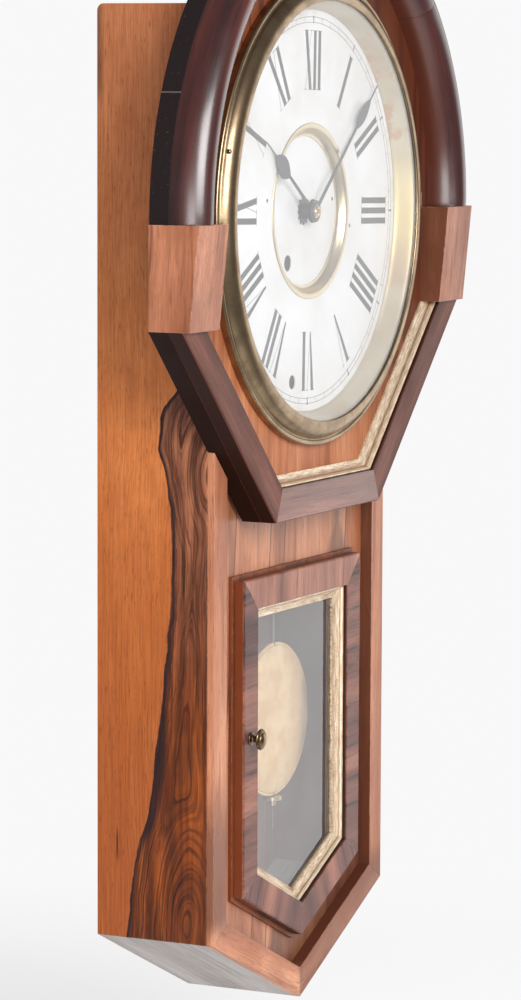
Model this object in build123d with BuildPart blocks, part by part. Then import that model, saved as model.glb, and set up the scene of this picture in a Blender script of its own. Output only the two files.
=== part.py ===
from build123d import *
import os
from math import atan2, cos, degrees, hypot, pi, radians, sin

# A drop-octagon wall clock with a half-round arch over its dial, as an assembly of separate pieces.
#
# Frame: millimetres. +X is to the viewer's right, +Z is up, and -Y points out of the wall at the viewer.
# The origin is the centre of the hanger's hole on the wall plane (Y = 0). "Depth" is distance out from the
# wall, so depth d lies at Y = -d; Plane.XZ.offset(d) is the plane at depth d, facing the viewer.

# ---------------------------------------------------------------- driving dimensions: case and face
CASE_HALF = 141.5          # half the width of the drop
CASE_TOP = 30.0            # top of the box above the hanger's hole
CASE_CORNER = -635.0       # where the sides meet the sloping bottom
SLOPE = 0.463              # fall of the pointed bottom per unit of width
CASE_DEPTH = 88.0          # front edge of the box
BOARD = 12.0               # side, top and bottom boards
BACK_BOARD = 9.0
FACE_WIDTH = 20.0
FACE_FRONT = 93.5
PANEL_FRONT = 84.2
PANEL_BACK = 78.2
PANEL_TOP = -315.0

# ---------------------------------------------------------------- pendulum door
DOOR_HALF = 97.5
DOOR_TOP = -378.6
DOOR_CORNER = -608.5
DOOR_FRONT = 95.4
DOOR_LIP_BACK = 87.4
DOOR_BACK = 80.5
DOOR_STILE = 22.0
DOOR_REBATE = 7.0          # width of the lip that laps over the surround
GLASS_LEDGE = 3.5
DOOR_GLASS_FRONT = 85.2
DOOR_GLASS = 2.0
SURROUND_OUT = 3.0         # how far the surround shows round the door
SURROUND_IN = 5.5
SURROUND_FRONT = 87.1
DOOR_GILT_WIDTH = 9.0
DOOR_GILT_FRONT = 92.3

# ---------------------------------------------------------------- head: arch, blocks, octagon
DIAL_Z = -118.0
HEAD_RADIUS = 229.0
HEAD_FRONT = 103.3
ARCH_INNER = 198.4
ARCH_FRONT = 128.2
ARCH_PIECES = 4
BLOCK_HALF = 230.4
BLOCK_INNER = 185.6
BLOCK_TOP = -120.4
BLOCK_BOTTOM = -193.0
BLOCK_FRONT_TOP = 126.6
BLOCK_FRONT_BOTTOM = 119.6
OCTAGON_CORNER = 87.0
OCTAGON_BOTTOM = -336.8
OCTAGON_FRONT = 115.3
OCTAGON_WIDTH = 23.8
OCTAGON_GILT = 8.0
OCTAGON_GILT_FRONT = 112.5
HEAD_OPENING = 133.0
DIAL_REBATE = 158.0

# ---------------------------------------------------------------- dial, bezel, hands
DIAL_FRONT = 98.8
DIAL_SHEET = 0.8
DIAL_RADIUS = 157.0
CENTRE_FRONT = 92.8        # the dial's centre is sunk behind its chapter ring
CENTRE_RADIUS = 60.0
DIAL_HOLE = 6.0
WINDING_AT = (-24.7, -37.1)      # from the dial's centre
WINDING_HOLE = 5.9
LOWER_HOLE_AT = (-28.8, -122.8)  # from the dial's centre
LOWER_HOLE = 5.2
BEZEL_RADIUS = 170.0
BEZEL_SIGHT = 151.8
BEZEL_LIP_FRONT = 116.4
DIAL_GLASS_FRONT = 114.9
DIAL_GLASS = 2.0
SIGHT_AT_DIAL = 145.0
HOUR_HAND_BACK = 100.4
MINUTE_HAND_BACK = 102.6
HAND_SHEET = 0.7
HOUR_REACH = 90.0
MINUTE_REACH = 139.0
MINUTE_ANGLE = 49.5              # degrees clockwise from twelve
HOUR_ANGLE = 300.0 + MINUTE_ANGLE / 12.0
HAND_NUT = 5.0
DIAL_SCREW = 1.0                 # the dial's four pins
DIAL_SCREW_HEAD = 2.4
DIAL_SCREW_DEEP = 7.0
DIAL_SCREW_CIRCLE = 153.8

# ---------------------------------------------------------------- hanger and wood screws
HANGER_POCKET_WIDTH = 26.0
HANGER_POCKET_HEIGHT = 46.0
HANGER_PLAY = 0.4
HANGER_SHEET = 2.5
HANGER_HOLE = 4.0
HANGER_CLEAR = 9.0
HANGER_SCREW_DROP = 16.0
HANGER_SCREW_SEAT = 1.2
SCREW = 1.4
SCREW_HEAD = 2.8
SCREW_SEAT = 3.0
SCREW_DEEP = 5.0
PILLAR_DOWEL_DEEP = 6.0

# ---------------------------------------------------------------- hinges and latch
DOOR_HINGE = (100.3, 90.5)       # X and depth of the pin
DOOR_HINGE_Z = (-415.0, -575.0)
BEZEL_HINGE = (173.5, 107.3)
HINGE_PIN = 1.0
HINGE_RUN = 0.05                 # running clearance
KNUCKLE = 2.2                    # outer radius of every hinge barrel
HINGE_HALF = 14.0                # half the height of a door hinge
HINGE_MIDDLE = 6.0               # half the height of its middle barrel
HINGE_GAP = 0.3                  # between one barrel and the next
HINGE_PIN_SPARE = 1.0            # how far a pin stands out at each end
CASE_LEAF_REACH = 12.0
BEZEL_BARREL_HALF = 3.0
BEZEL_BRACKET_HALF = 9.0
BEZEL_BRACKET_REACH = 10.5
BEZEL_BRACKET_SHEET = 1.2
KNOB_AT = (-86.5, -493.4)
KNOB_RADIUS = 7.6
SPINDLE = 2.2
TONGUE_BACK = 76.4
TONGUE_SHEET = 1.5
TONGUE_HUB = 3.4
TONGUE_REACH = 14.0
TONGUE_WIDTH = 5.0

# ---------------------------------------------------------------- movement
PLATE_LEFT = -68.0
PLATE_RIGHT = 44.0
PLATE_BOTTOM = -72.0             # from the dial's centre
PLATE_TOP = 40.0
BACK_PLATE = 30.0
FRONT_PLATE = 62.0
PLATE = 2.0
PIVOT = 0.9
PIVOT_SPARE = 0.5                # how far a pivot passes its plate
SHAKE = 0.3                      # end play of an arbor between the plates
ARBOR = 1.5
ESCAPE_ARBOR = 1.2
CENTRE_ARBOR = 1.6
CANNON_PIPE = 2.6
HOUR_PIPE = 3.8
RUN = 0.05
GREAT_DEPTH = 55.5
SECOND_DEPTH = 51.8
CENTRE_DEPTH = 45.5
THIRD_DEPTH = 39.5
ESCAPE_DEPTH = 65.6
CANNON_DEPTH = 74.0
HOUR_DEPTH = 79.0
GREAT_WHEEL = 2.0                # thicknesses
WHEEL = 1.4
MOTION_WHEEL = 2.0
ESCAPE_WHEEL = 1.0
PINION = 4.0
MOTION_STUD = 1.3
VERGE_STUD = 1.0
SUSPENSION_STUD = 2.5
SUSPENSION_NECK = 1.5
PILLAR = 3.5
PILLAR_NECK = 2.0
PILLAR_INSET = 7.0
PLATE_SLOT = 8.0

GREAT_TEETH, SECOND_PINION, GREAT_MODULE = 60, 10, 1.0
SECOND_TEETH, CENTRE_PINION, SECOND_MODULE = 54, 8, 0.9
CENTRE_TEETH, THIRD_PINION, CENTRE_MODULE = 63, 7, 0.8
THIRD_TEETH, ESCAPE_PINION, THIRD_MODULE = 55, 7, 0.7
CANNON_TEETH, MINUTE_TEETH, MOTION_MODULE = 12, 36, 0.8
MINUTE_PINION, HOUR_TEETH = 10, 40
ESCAPE_TEETH = 42
ESCAPE_RADIUS = 12.5
ESCAPE_AT = (9.0, -46.0)         # from the dial's centre
VERGE_AT = (0.0, -30.0)
SUSPENSION_AT = (0.0, -20.0)

WINDING_ARBOR = 2.4
WINDING_SQUARE = 3.3
SPRING_HUB = 5.0
RATCHET_TEETH = 16
RATCHET_ROOT, RATCHET_TIP = 7.6, 9.6
RATCHET_SHEET = 1.8
CLICK_AT = (9.0, 14.0)           # from the winding arbor
CLICK_HUB = 2.2
CLICK_SHEET = 1.6
SPRING_SHEET, SPRING_PITCH, SPRING_TURNS = 0.5, 1.25, 7
SPRING_START = 7.0
SPRING_WIDTH = 16.0

PALLET_REACH = 1.7               # from the escape wheel's tips
PALLET_SPREAD = 62.0             # degrees to each side
PALLET_ROOT_HALF, PALLET_TIP_HALF = 1.4, 0.7
VERGE_HUB = 2.6
VERGE_SHEET = 1.4
VERGE_COLLAR = 2.2
CRUTCH_DROP = 42.0
CRUTCH_WIRE = 1.2
CRUTCH_HALF = 2.9                # from the rod's middle to the fork's sides
CRUTCH_FORK = 1.4

# ---------------------------------------------------------------- pendulum
PENDULUM_DEPTH = 70.0
BOB_RADIUS = 57.5
BOB_Z = -493.6
BOB_SWELL_FRONT, BOB_SWELL_BACK = 5.6, 6.0
BOB_RIM = 1.2
ROD = 1.5
ROD_TIP = 1.0                    # the thin threaded end under the bob
ROD_END = -576.0
RATING_NUT_TOP = -551.4
RATING_NUT = 7.0
RATING_NUT_DISC = 2.6
RATING_NUT_HUB = 2.4
RATING_NUT_DROP = 7.0
RATING_NUT_GROOVES = 20
SPRING_DROP = 12.0               # length of the suspension spring
SPRING_LEAF = 0.3
SPRING_LEAF_WIDTH = 2.8

os.makedirs("parts", exist_ok=True)


def save(part, name):
    """Label one finished piece and write it under its node name."""
    part.label = name
    export_step(part, f"parts/{name}.step")


def at(x, z, depth):
    """The plane at a depth whose own origin is (x, z) and which faces the viewer."""
    return Plane(origin=(x, -depth, z), x_dir=(1, 0, 0), z_dir=(0, -1, 0))


def turned_ring(points, centre_z=DIAL_Z):
    """A solid of revolution about the dial's axis, from (radius, depth) points."""
    axis = Axis((0, 0, centre_z), (0, -1, 0))
    with BuildPart() as ring:
        with BuildSketch(Plane(origin=(0, 0, centre_z), x_dir=(1, 0, 0), z_dir=(0, 0, 1))):
            with BuildLine():
                Polyline(*[(radius, -depth) for radius, depth in points], close=True)
            make_face()
        revolve(axis=axis)
    return ring.part


# ---------------------------------------------------------------- outlines
def pentagon(half, top, corner, inset=0.0):
    """The pointed outline, clockwise from its top left, moved inwards by inset."""
    side = half - inset
    point = corner - half * SLOPE + inset * hypot(1.0, SLOPE)
    return [
        (-side, top - inset),
        (side, top - inset),
        (side, point + side * SLOPE),
        (0.0, point),
        (-side, point + side * SLOPE),
    ]


def octagon_chain():
    """The octagon's lower half, from the left block round the bottom to the right block."""
    return [
        (BLOCK_HALF, BLOCK_BOTTOM),
        (OCTAGON_CORNER, OCTAGON_BOTTOM),
        (-OCTAGON_CORNER, OCTAGON_BOTTOM),
        (-BLOCK_HALF, BLOCK_BOTTOM),
    ]


def unit(start, end):
    """The direction from one outline point to the next."""
    length = hypot(end[0] - start[0], end[1] - start[1])
    return (end[0] - start[0]) / length, (end[1] - start[1]) / length


def mitre_plane(point, before, after):
    """The upright plane that halves the corner between two runs, facing along the travel."""
    return Plane(origin=(point[0], 0, point[1]), z_dir=(before[0] + after[0], 0, before[1] + after[1]))


def strip(start, end, profile, first_cut, last_cut):
    """A straight moulding from start to end along a clockwise outline, cut by a plane at each end.

    The profile is (distance in from the outline, depth) points.
    """
    along = unit(start, end)
    inward = (along[1], -along[0])
    length = hypot(end[0] - start[0], end[1] - start[1])
    spare = 45.0
    base = Plane(
        origin=(start[0] - spare * along[0], 0, start[1] - spare * along[1]),
        x_dir=(inward[0], 0, inward[1]),
        z_dir=(along[0], 0, along[1]),
    )
    # the base plane's own y axis is -Y or +Y by the handedness of its two axes
    outward = 1.0 if base.y_dir.Y < 0 else -1.0
    with BuildPart() as run:
        with BuildSketch(base):
            with BuildLine():
                Polyline(*[(u, outward * depth) for u, depth in profile], close=True)
            make_face()
        extrude(amount=length + 2 * spare)
        split(bisect_by=first_cut, keep=Keep.TOP)
        split(bisect_by=last_cut, keep=Keep.BOTTOM)
    return run.part


def mitred_frame(points, profile):
    """One mitred strip for each side of a closed clockwise outline."""
    count = len(points)
    runs = [unit(points[i], points[(i + 1) % count]) for i in range(count)]
    return [
        strip(
            points[i],
            points[(i + 1) % count],
            profile,
            mitre_plane(points[i], runs[i - 1], runs[i]),
            mitre_plane(points[(i + 1) % count], runs[i], runs[(i + 1) % count]),
        )
        for i in range(count)
    ]


def mitred_chain(points, profile, first_cut, last_cut):
    """One strip for each side of an open clockwise outline, with its two free ends cut by planes."""
    runs = [unit(points[i], points[i + 1]) for i in range(len(points) - 1)]
    cuts = [mitre_plane(points[i], runs[i - 1], runs[i]) for i in range(1, len(runs))]
    cuts = [first_cut] + cuts + [last_cut]
    return [
        strip(points[i], points[i + 1], profile, cuts[i], cuts[i + 1]) for i in range(len(runs))
    ]


def plate(points, depth, thickness, holes=()):
    """A flat board between two depths, with a closed outline and outlined holes."""
    with BuildPart() as board:
        with BuildSketch(Plane.XZ.offset(depth)):
            with BuildLine():
                Polyline(*points, close=True)
            make_face()
            for hole in holes:
                with BuildLine():
                    Polyline(*hole, close=True)
                make_face(mode=Mode.SUBTRACT)
        extrude(amount=thickness)
    return board.part


# ---------------------------------------------------------------- case boards
CASE = pentagon(CASE_HALF, CASE_TOP, CASE_CORNER)
CASE_INSIDE = pentagon(CASE_HALF, CASE_TOP, CASE_CORNER, BOARD)


def make_side_boards():
    """The two deep side boards, mitred at the foot and rounded at the top back corner."""
    for name, sign in (("side_board_left", -1), ("side_board_right", 1)):
        foot_out = CASE[2][1]
        foot_in = CASE_INSIDE[2][1]
        outline = [
            (sign * CASE_HALF, CASE_TOP),
            (sign * (CASE_HALF - BOARD), CASE_TOP),
            (sign * (CASE_HALF - BOARD), foot_in),
            (sign * CASE_HALF, foot_out),
        ]
        with BuildPart() as side:
            with BuildSketch(Plane.XZ):
                with BuildLine():
                    Polyline(*outline, close=True)
                make_face()
            extrude(amount=CASE_DEPTH)
            corner = side.edges().filter_by(Axis.X).group_by(Axis.Z)[-1].sort_by(Axis.Y)[-1]
            fillet(corner, radius=5.0)
        save(side.part, name)


def make_top_board():
    """The top of the box, let in between the sides."""
    inner = CASE_HALF - BOARD
    outline = [
        (-inner, CASE_TOP),
        (inner, CASE_TOP),
        (inner, CASE_TOP - BOARD),
        (-inner, CASE_TOP - BOARD),
    ]
    save(plate(outline, BACK_BOARD, CASE_DEPTH - BACK_BOARD), "top_board")


def make_bottom_boards():
    """Two sloping boards, mitred to the sides and to each other."""
    halves = []
    for sign in (-1, 1):
        outline = [
            (0.0, CASE[3][1]),
            (sign * CASE_HALF, CASE[2][1]),
            (sign * (CASE_HALF - BOARD), CASE_INSIDE[2][1]),
            (0.0, CASE_INSIDE[3][1]),
        ]
        halves.append(plate(outline, 0.0, CASE_DEPTH))
    save(Compound(children=halves), "bottom_boards")


def make_backboard():
    """The backboard between the sides, pocketed at the back for the hanger plate."""
    outline = [
        (-(CASE_HALF - BOARD), CASE_TOP),
        (CASE_HALF - BOARD, CASE_TOP),
        CASE_INSIDE[2],
        CASE_INSIDE[3],
        CASE_INSIDE[4],
    ]
    with BuildPart() as back:
        with BuildSketch(Plane.XZ):
            with BuildLine():
                Polyline(*outline, close=True)
            make_face()
        extrude(amount=BACK_BOARD)
        with BuildSketch(Plane.XZ):
            Rectangle(HANGER_POCKET_WIDTH, HANGER_POCKET_HEIGHT)
        extrude(amount=HANGER_SHEET, mode=Mode.SUBTRACT)
        with BuildSketch(Plane.XZ.offset(HANGER_SHEET)):
            Circle(HANGER_CLEAR)
        extrude(amount=BACK_BOARD, mode=Mode.SUBTRACT)
        with BuildSketch(Plane.XZ.offset(HANGER_SHEET)):
            with Locations((0, HANGER_SCREW_DROP), (0, -HANGER_SCREW_DROP)):
                Circle(SCREW)
        extrude(amount=SCREW_DEEP, mode=Mode.SUBTRACT)
        with BuildSketch(Plane.XZ.offset(BACK_BOARD)):
            with Locations(*pillar_places()):
                Circle(SCREW)
        extrude(amount=-PILLAR_DOWEL_DEEP, mode=Mode.SUBTRACT)
    save(back.part, "backboard")


def make_hanger_plate():
    """A steel plate with the hole that drops over the wall hook."""
    with BuildPart() as hanger:
        with BuildSketch(Plane.XZ):
            RectangleRounded(HANGER_POCKET_WIDTH - HANGER_PLAY, HANGER_POCKET_HEIGHT - HANGER_PLAY, 4.0)
            Circle(HANGER_HOLE, mode=Mode.SUBTRACT)
            with Locations((0, HANGER_SCREW_DROP), (0, -HANGER_SCREW_DROP)):
                Circle(SCREW, mode=Mode.SUBTRACT)
        extrude(amount=HANGER_SHEET)
        with BuildSketch(Plane.XZ):
            with Locations((0, HANGER_SCREW_DROP), (0, -HANGER_SCREW_DROP)):
                Circle(SCREW_SEAT)
        extrude(amount=HANGER_SCREW_SEAT, mode=Mode.SUBTRACT)
    save(hanger.part, "hanger_plate")


# ---------------------------------------------------------------- face frame and panel
FACE_TOP_AT_EDGE = BLOCK_BOTTOM - (BLOCK_HALF - CASE_HALF)


def make_face_frame():
    """A mitred border on the box's front edges. Its stiles are cut to the octagon's underside."""
    lap = BOARD
    profile = [
        (0, CASE_DEPTH),
        (0, FACE_FRONT),
        (FACE_WIDTH, FACE_FRONT),
        (FACE_WIDTH, PANEL_FRONT),
        (lap, PANEL_FRONT),
        (lap, CASE_DEPTH),
    ]
    chain = [
        (CASE_HALF, FACE_TOP_AT_EDGE),
        CASE[2],
        CASE[3],
        CASE[4],
        (-CASE_HALF, FACE_TOP_AT_EDGE),
    ]
    clear = 0.8
    right_cut = Plane(origin=(CASE_HALF, 0, FACE_TOP_AT_EDGE - clear), z_dir=(1, 0, -1))
    left_cut = Plane(origin=(-CASE_HALF, 0, FACE_TOP_AT_EDGE - clear), z_dir=(1, 0, 1))
    right, lower_right, lower_left, left = mitred_chain(chain, profile, right_cut, left_cut)
    save(right, "face_stile_right")
    save(left, "face_stile_left")
    save(Compound(children=[lower_left, lower_right]), "face_rails")


def make_front_panel():
    """The recessed veneered panel with the pendulum opening."""
    inner = CASE_HALF - BOARD
    outline = [(-inner, PANEL_TOP), (inner, PANEL_TOP)] + CASE_INSIDE[2:]
    opening = pentagon(DOOR_HALF, DOOR_TOP, DOOR_CORNER, SURROUND_IN)
    save(plate(outline, PANEL_BACK, PANEL_FRONT - PANEL_BACK, [opening]), "front_panel")


def make_door_surround():
    """A thin raised frame round the opening, which the door shuts against."""
    outline = pentagon(DOOR_HALF, DOOR_TOP, DOOR_CORNER, -SURROUND_OUT)
    profile = [
        (0, PANEL_FRONT),
        (0, SURROUND_FRONT),
        (SURROUND_OUT + SURROUND_IN, SURROUND_FRONT),
        (SURROUND_OUT + SURROUND_IN, PANEL_FRONT),
    ]
    save(Compound(children=mitred_frame(outline, profile)), "door_surround")


# ---------------------------------------------------------------- pendulum door
def make_door():
    """Five mitred frame members, their gilt moulding, the glass and the beads that hold it."""
    outline = pentagon(DOOR_HALF, DOOR_TOP, DOOR_CORNER)
    frame_profile = [
        (0, DOOR_LIP_BACK),
        (0, DOOR_FRONT - 1.2),
        (1.2, DOOR_FRONT),
        (DOOR_STILE, DOOR_FRONT),
        (DOOR_STILE, DOOR_GLASS_FRONT),
        (DOOR_STILE - GLASS_LEDGE, DOOR_GLASS_FRONT),
        (DOOR_STILE - GLASS_LEDGE, DOOR_BACK),
        (DOOR_REBATE, DOOR_BACK),
        (DOOR_REBATE, DOOR_LIP_BACK),
    ]
    top, right, lower_right, lower_left, left = mitred_frame(outline, frame_profile)
    with BuildPart() as left_stile:
        add(left)
        with BuildSketch(at(KNOB_AT[0], KNOB_AT[1], DOOR_BACK - 1)):
            Circle(SPINDLE + RUN)
        extrude(amount=DOOR_FRONT - DOOR_BACK + 2, mode=Mode.SUBTRACT)
    save(top, "door_rail_top")
    save(right, "door_stile_right")
    save(left_stile.part, "door_stile_left")
    save(Compound(children=[lower_left, lower_right]), "door_rails_bottom")

    sight = pentagon(DOOR_HALF, DOOR_TOP, DOOR_CORNER, DOOR_STILE)
    gilt_profile = [
        (0, DOOR_GLASS_FRONT),
        (0, DOOR_GILT_FRONT - 0.5),
        (0.7, DOOR_GILT_FRONT),
        (1.9, DOOR_GILT_FRONT),
        (2.6, DOOR_GILT_FRONT - 0.8),
        (3.2, DOOR_GILT_FRONT - 2.4),
        (4.6, DOOR_GILT_FRONT - 4.2),
        (6.6, DOOR_GILT_FRONT - 5.4),
        (DOOR_GILT_WIDTH, DOOR_GILT_FRONT - 5.8),
        (DOOR_GILT_WIDTH, DOOR_GLASS_FRONT),
    ]
    save(Compound(children=mitred_frame(sight, gilt_profile)), "door_gilt")

    edge = DOOR_STILE - GLASS_LEDGE
    pane = pentagon(DOOR_HALF, DOOR_TOP, DOOR_CORNER, edge + 0.3)
    save(plate(pane, DOOR_GLASS_FRONT - DOOR_GLASS, DOOR_GLASS), "door_glass")
    bead_outline = pentagon(DOOR_HALF, DOOR_TOP, DOOR_CORNER, edge)
    bead_front = DOOR_GLASS_FRONT - DOOR_GLASS
    bead_profile = [(0, DOOR_BACK), (0, bead_front), (5.0, bead_front), (3.0, DOOR_BACK)]
    save(Compound(children=mitred_frame(bead_outline, bead_profile)), "door_glass_beads")


def make_latch():
    """A turned brass knob on a spindle through the stile, with a tongue that turns behind the panel."""
    face = DOOR_FRONT + 0.2
    spindle_back = DOOR_BACK - 2.0
    knob_profile = [
        (0, spindle_back),
        (SPINDLE, spindle_back),
        (SPINDLE, face),
        (4.6, face),
        (4.6, face + 0.8),
        (2.6, face + 1.6),
        (2.4, face + 4.4),
        (3.6, face + 5.8),
        (KNOB_RADIUS, face + 7.0),
        (KNOB_RADIUS, face + 8.2),
        (5.6, face + 9.6),
        (5.2, face + 9.4),
        (3.4, face + 10.8),
        (0, face + 11.4),
    ]
    with BuildPart() as knob:
        base = Plane(origin=(KNOB_AT[0], 0, KNOB_AT[1]), x_dir=(1, 0, 0), z_dir=(0, 0, 1))
        with BuildSketch(base):
            with BuildLine():
                Polyline(*[(radius, -depth) for radius, depth in knob_profile], close=True)
            make_face()
        revolve(axis=Axis((KNOB_AT[0], 0, KNOB_AT[1]), (0, -1, 0)))
    save(knob.part, "door_knob")

    with BuildPart() as tongue:
        with BuildSketch(at(KNOB_AT[0], KNOB_AT[1], TONGUE_BACK)):
            Circle(TONGUE_HUB)
            with Locations((0, TONGUE_REACH / 2)):
                Rectangle(TONGUE_WIDTH, TONGUE_REACH)
            with Locations((0, TONGUE_REACH)):
                Circle(TONGUE_WIDTH / 2)
        extrude(amount=TONGUE_SHEET)
        with BuildSketch(at(KNOB_AT[0], KNOB_AT[1], TONGUE_BACK + TONGUE_SHEET)):
            Circle(SPINDLE)
        extrude(amount=spindle_back - TONGUE_BACK - TONGUE_SHEET)
    save(tongue.part, "latch_tongue")


# ---------------------------------------------------------------- hinges
def knuckle(x, depth, low, high, hole):
    """One barrel of a hinge, upright, with its pin hole."""
    with BuildPart() as barrel:
        with BuildSketch(Plane.XY.offset(low)):
            with Locations((x, -depth)):
                Circle(KNUCKLE)
                Circle(hole, mode=Mode.SUBTRACT)
        extrude(amount=high - low)
    return barrel.part


def slab(x_low, x_high, depth_low, depth_high, z_low, z_high):
    """A plain rectangular plate given by its limits."""
    with BuildPart() as piece:
        with BuildSketch(Plane.XY.offset(z_low)):
            with Locations(((x_low + x_high) / 2, -(depth_low + depth_high) / 2)):
                Rectangle(x_high - x_low, depth_high - depth_low)
        extrude(amount=z_high - z_low)
    return piece.part


def clear_pin(part, x, depth, hole, low, high):
    """Cut a pin hole through a leaf that meets its barrel."""
    with BuildPart() as cut:
        add(part)
        with BuildSketch(Plane.XY.offset(low - 1)):
            with Locations((x, -depth)):
                Circle(hole)
        extrude(amount=high - low + 2, mode=Mode.SUBTRACT)
    return cut.part


def upright_pin(x, depth, z, half):
    """A hinge pin about a middle height."""
    with BuildPart() as pin:
        with BuildSketch(Plane.XY.offset(z - half)):
            with Locations((x, -depth)):
                Circle(HINGE_PIN)
        extrude(amount=2 * half)
    return pin.part


def make_door_hinges():
    """Two butt hinges on the door's right edge: case leaves, door leaves and pins."""
    x, depth = DOOR_HINGE
    running = HINGE_PIN + HINGE_RUN
    leaf_edge = x + 1.2
    case_leaves, door_leaves, pins = [], [], []
    for z in DOOR_HINGE_Z:
        low, high = z - HINGE_HALF, z + HINGE_HALF
        with BuildPart() as case_leaf:
            add(slab(leaf_edge, x + CASE_LEAF_REACH, PANEL_FRONT, PANEL_FRONT + 1.0, low, high))
            for start, end in (
                (low, z - HINGE_MIDDLE - HINGE_GAP),
                (z + HINGE_MIDDLE + HINGE_GAP, high),
            ):
                add(slab(leaf_edge, x + KNUCKLE, PANEL_FRONT, depth, start, end))
                add(knuckle(x, depth, start, end, HINGE_PIN))
        case_leaves.append(clear_pin(case_leaf.part, x, depth, HINGE_PIN, low, high))
        low, high = z - HINGE_MIDDLE, z + HINGE_MIDDLE
        with BuildPart() as door_leaf:
            add(slab(DOOR_HALF, x - 1.3, depth, DOOR_FRONT - 1.4, low, high))
            add(slab(DOOR_HALF, x - 1.0, depth - KNUCKLE + 0.8, depth, low, high))
            add(knuckle(x, depth, low, high, running))
        door_leaves.append(clear_pin(door_leaf.part, x, depth, running, low, high))
        pins.append(upright_pin(x, depth, z, HINGE_HALF + HINGE_PIN_SPARE))
    save(Compound(children=case_leaves), "case_hinge_leaves")
    save(Compound(children=door_leaves), "door_hinge_leaves")
    x, depth = BEZEL_HINGE
    pins.append(upright_pin(x, depth, DIAL_Z, BEZEL_BRACKET_HALF + HINGE_PIN_SPARE))
    save(Compound(children=pins), "hinge_pins")


def make_bezel_bracket():
    """The bezel hinge's fixed leaf, screwed to the head board between bezel and block."""
    x, depth = BEZEL_HINGE
    low, high = DIAL_Z - BEZEL_BRACKET_HALF, DIAL_Z + BEZEL_BRACKET_HALF
    gap = BEZEL_BARREL_HALF + HINGE_GAP
    with BuildPart() as bracket:
        add(slab(x - 0.8, x + BEZEL_BRACKET_REACH, HEAD_FRONT, HEAD_FRONT + BEZEL_BRACKET_SHEET, low, high))
        for start, end in ((low, DIAL_Z - gap), (DIAL_Z + gap, high)):
            add(slab(x + 0.9, x + KNUCKLE, HEAD_FRONT, depth, start, end))
            add(knuckle(x, depth, start, end, HINGE_PIN))
    save(clear_pin(bracket.part, x, depth, HINGE_PIN, low, high), "bezel_hinge_bracket")


# ---------------------------------------------------------------- head
def make_head_board():
    """The thick board behind the arch and octagon, opened for the dial and rebated for its edge."""
    block_edge = BLOCK_INNER
    arch_foot = BLOCK_TOP
    with BuildPart() as board:
        with BuildSketch(Plane.XZ.offset(CASE_DEPTH)):
            with Locations((0, DIAL_Z)):
                Circle(HEAD_RADIUS)
            with Locations((0, arch_foot - 200)):
                Rectangle(2 * BLOCK_HALF + 10, 400, mode=Mode.SUBTRACT)
            with BuildLine():
                Polyline(
                    (-block_edge, arch_foot + 1),
                    (block_edge, arch_foot + 1),
                    (block_edge, BLOCK_BOTTOM),
                    (BLOCK_HALF, BLOCK_BOTTOM),
                    (OCTAGON_CORNER, OCTAGON_BOTTOM),
                    (-OCTAGON_CORNER, OCTAGON_BOTTOM),
                    (-BLOCK_HALF, BLOCK_BOTTOM),
                    (-block_edge, BLOCK_BOTTOM),
                    close=True,
                )
            make_face()
            with Locations((0, DIAL_Z)):
                Circle(HEAD_OPENING, mode=Mode.SUBTRACT)
        extrude(amount=HEAD_FRONT - CASE_DEPTH)
        with BuildSketch(at(0, DIAL_Z, DIAL_FRONT - DIAL_SHEET)):
            Circle(DIAL_REBATE)
        extrude(amount=HEAD_FRONT, mode=Mode.SUBTRACT)
        with BuildSketch(at(0, DIAL_Z, DIAL_FRONT - DIAL_SHEET)):
            with PolarLocations(DIAL_SCREW_CIRCLE, 4, start_angle=45):
                Circle(DIAL_SCREW)
        extrude(amount=-DIAL_SCREW_DEEP, mode=Mode.SUBTRACT)
    save(board.part, "head_board")


def make_arch():
    """The half-round arch: equal segments butted end to end, standing on the two blocks."""
    middle = (ARCH_INNER + HEAD_RADIUS) / 2
    half = (HEAD_RADIUS - ARCH_INNER) / 2
    rise = ARCH_FRONT - HEAD_FRONT
    foot = degrees(atan2(BLOCK_TOP - DIAL_Z, middle))
    with BuildPart() as whole:
        with BuildSketch(Plane(origin=(0, 0, DIAL_Z), x_dir=(1, 0, 0), z_dir=(0, 0, 1))):
            with Locations((middle, -HEAD_FRONT)):
                Ellipse(half, rise)
            with Locations((middle, -HEAD_FRONT + rise / 2)):
                Rectangle(2 * half + 2, rise, mode=Mode.SUBTRACT)
        revolve(axis=Axis((0, 0, DIAL_Z), (0, -1, 0)))
        with BuildSketch(Plane.XZ.offset(HEAD_FRONT - 1)):
            with Locations((0, BLOCK_TOP - 200)):
                Rectangle(2 * HEAD_RADIUS + 40, 400)
        extrude(amount=ARCH_FRONT, mode=Mode.SUBTRACT)
    seams = [foot + (180 - 2 * foot) * k / ARCH_PIECES for k in range(1, ARCH_PIECES)]
    pieces = [whole.part]
    for seam in seams:
        turn = radians(seam)
        cutter = Plane(origin=(0, 0, DIAL_Z), z_dir=(-sin(turn), 0, cos(turn)))
        rest = pieces.pop()
        with BuildPart() as before:
            add(rest)
            split(bisect_by=cutter, keep=Keep.BOTTOM)
        with BuildPart() as after:
            add(rest)
            split(bisect_by=cutter, keep=Keep.TOP)
        pieces += [before.part, after.part]
    save(Compound(children=pieces), "half_round_arch")


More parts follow.
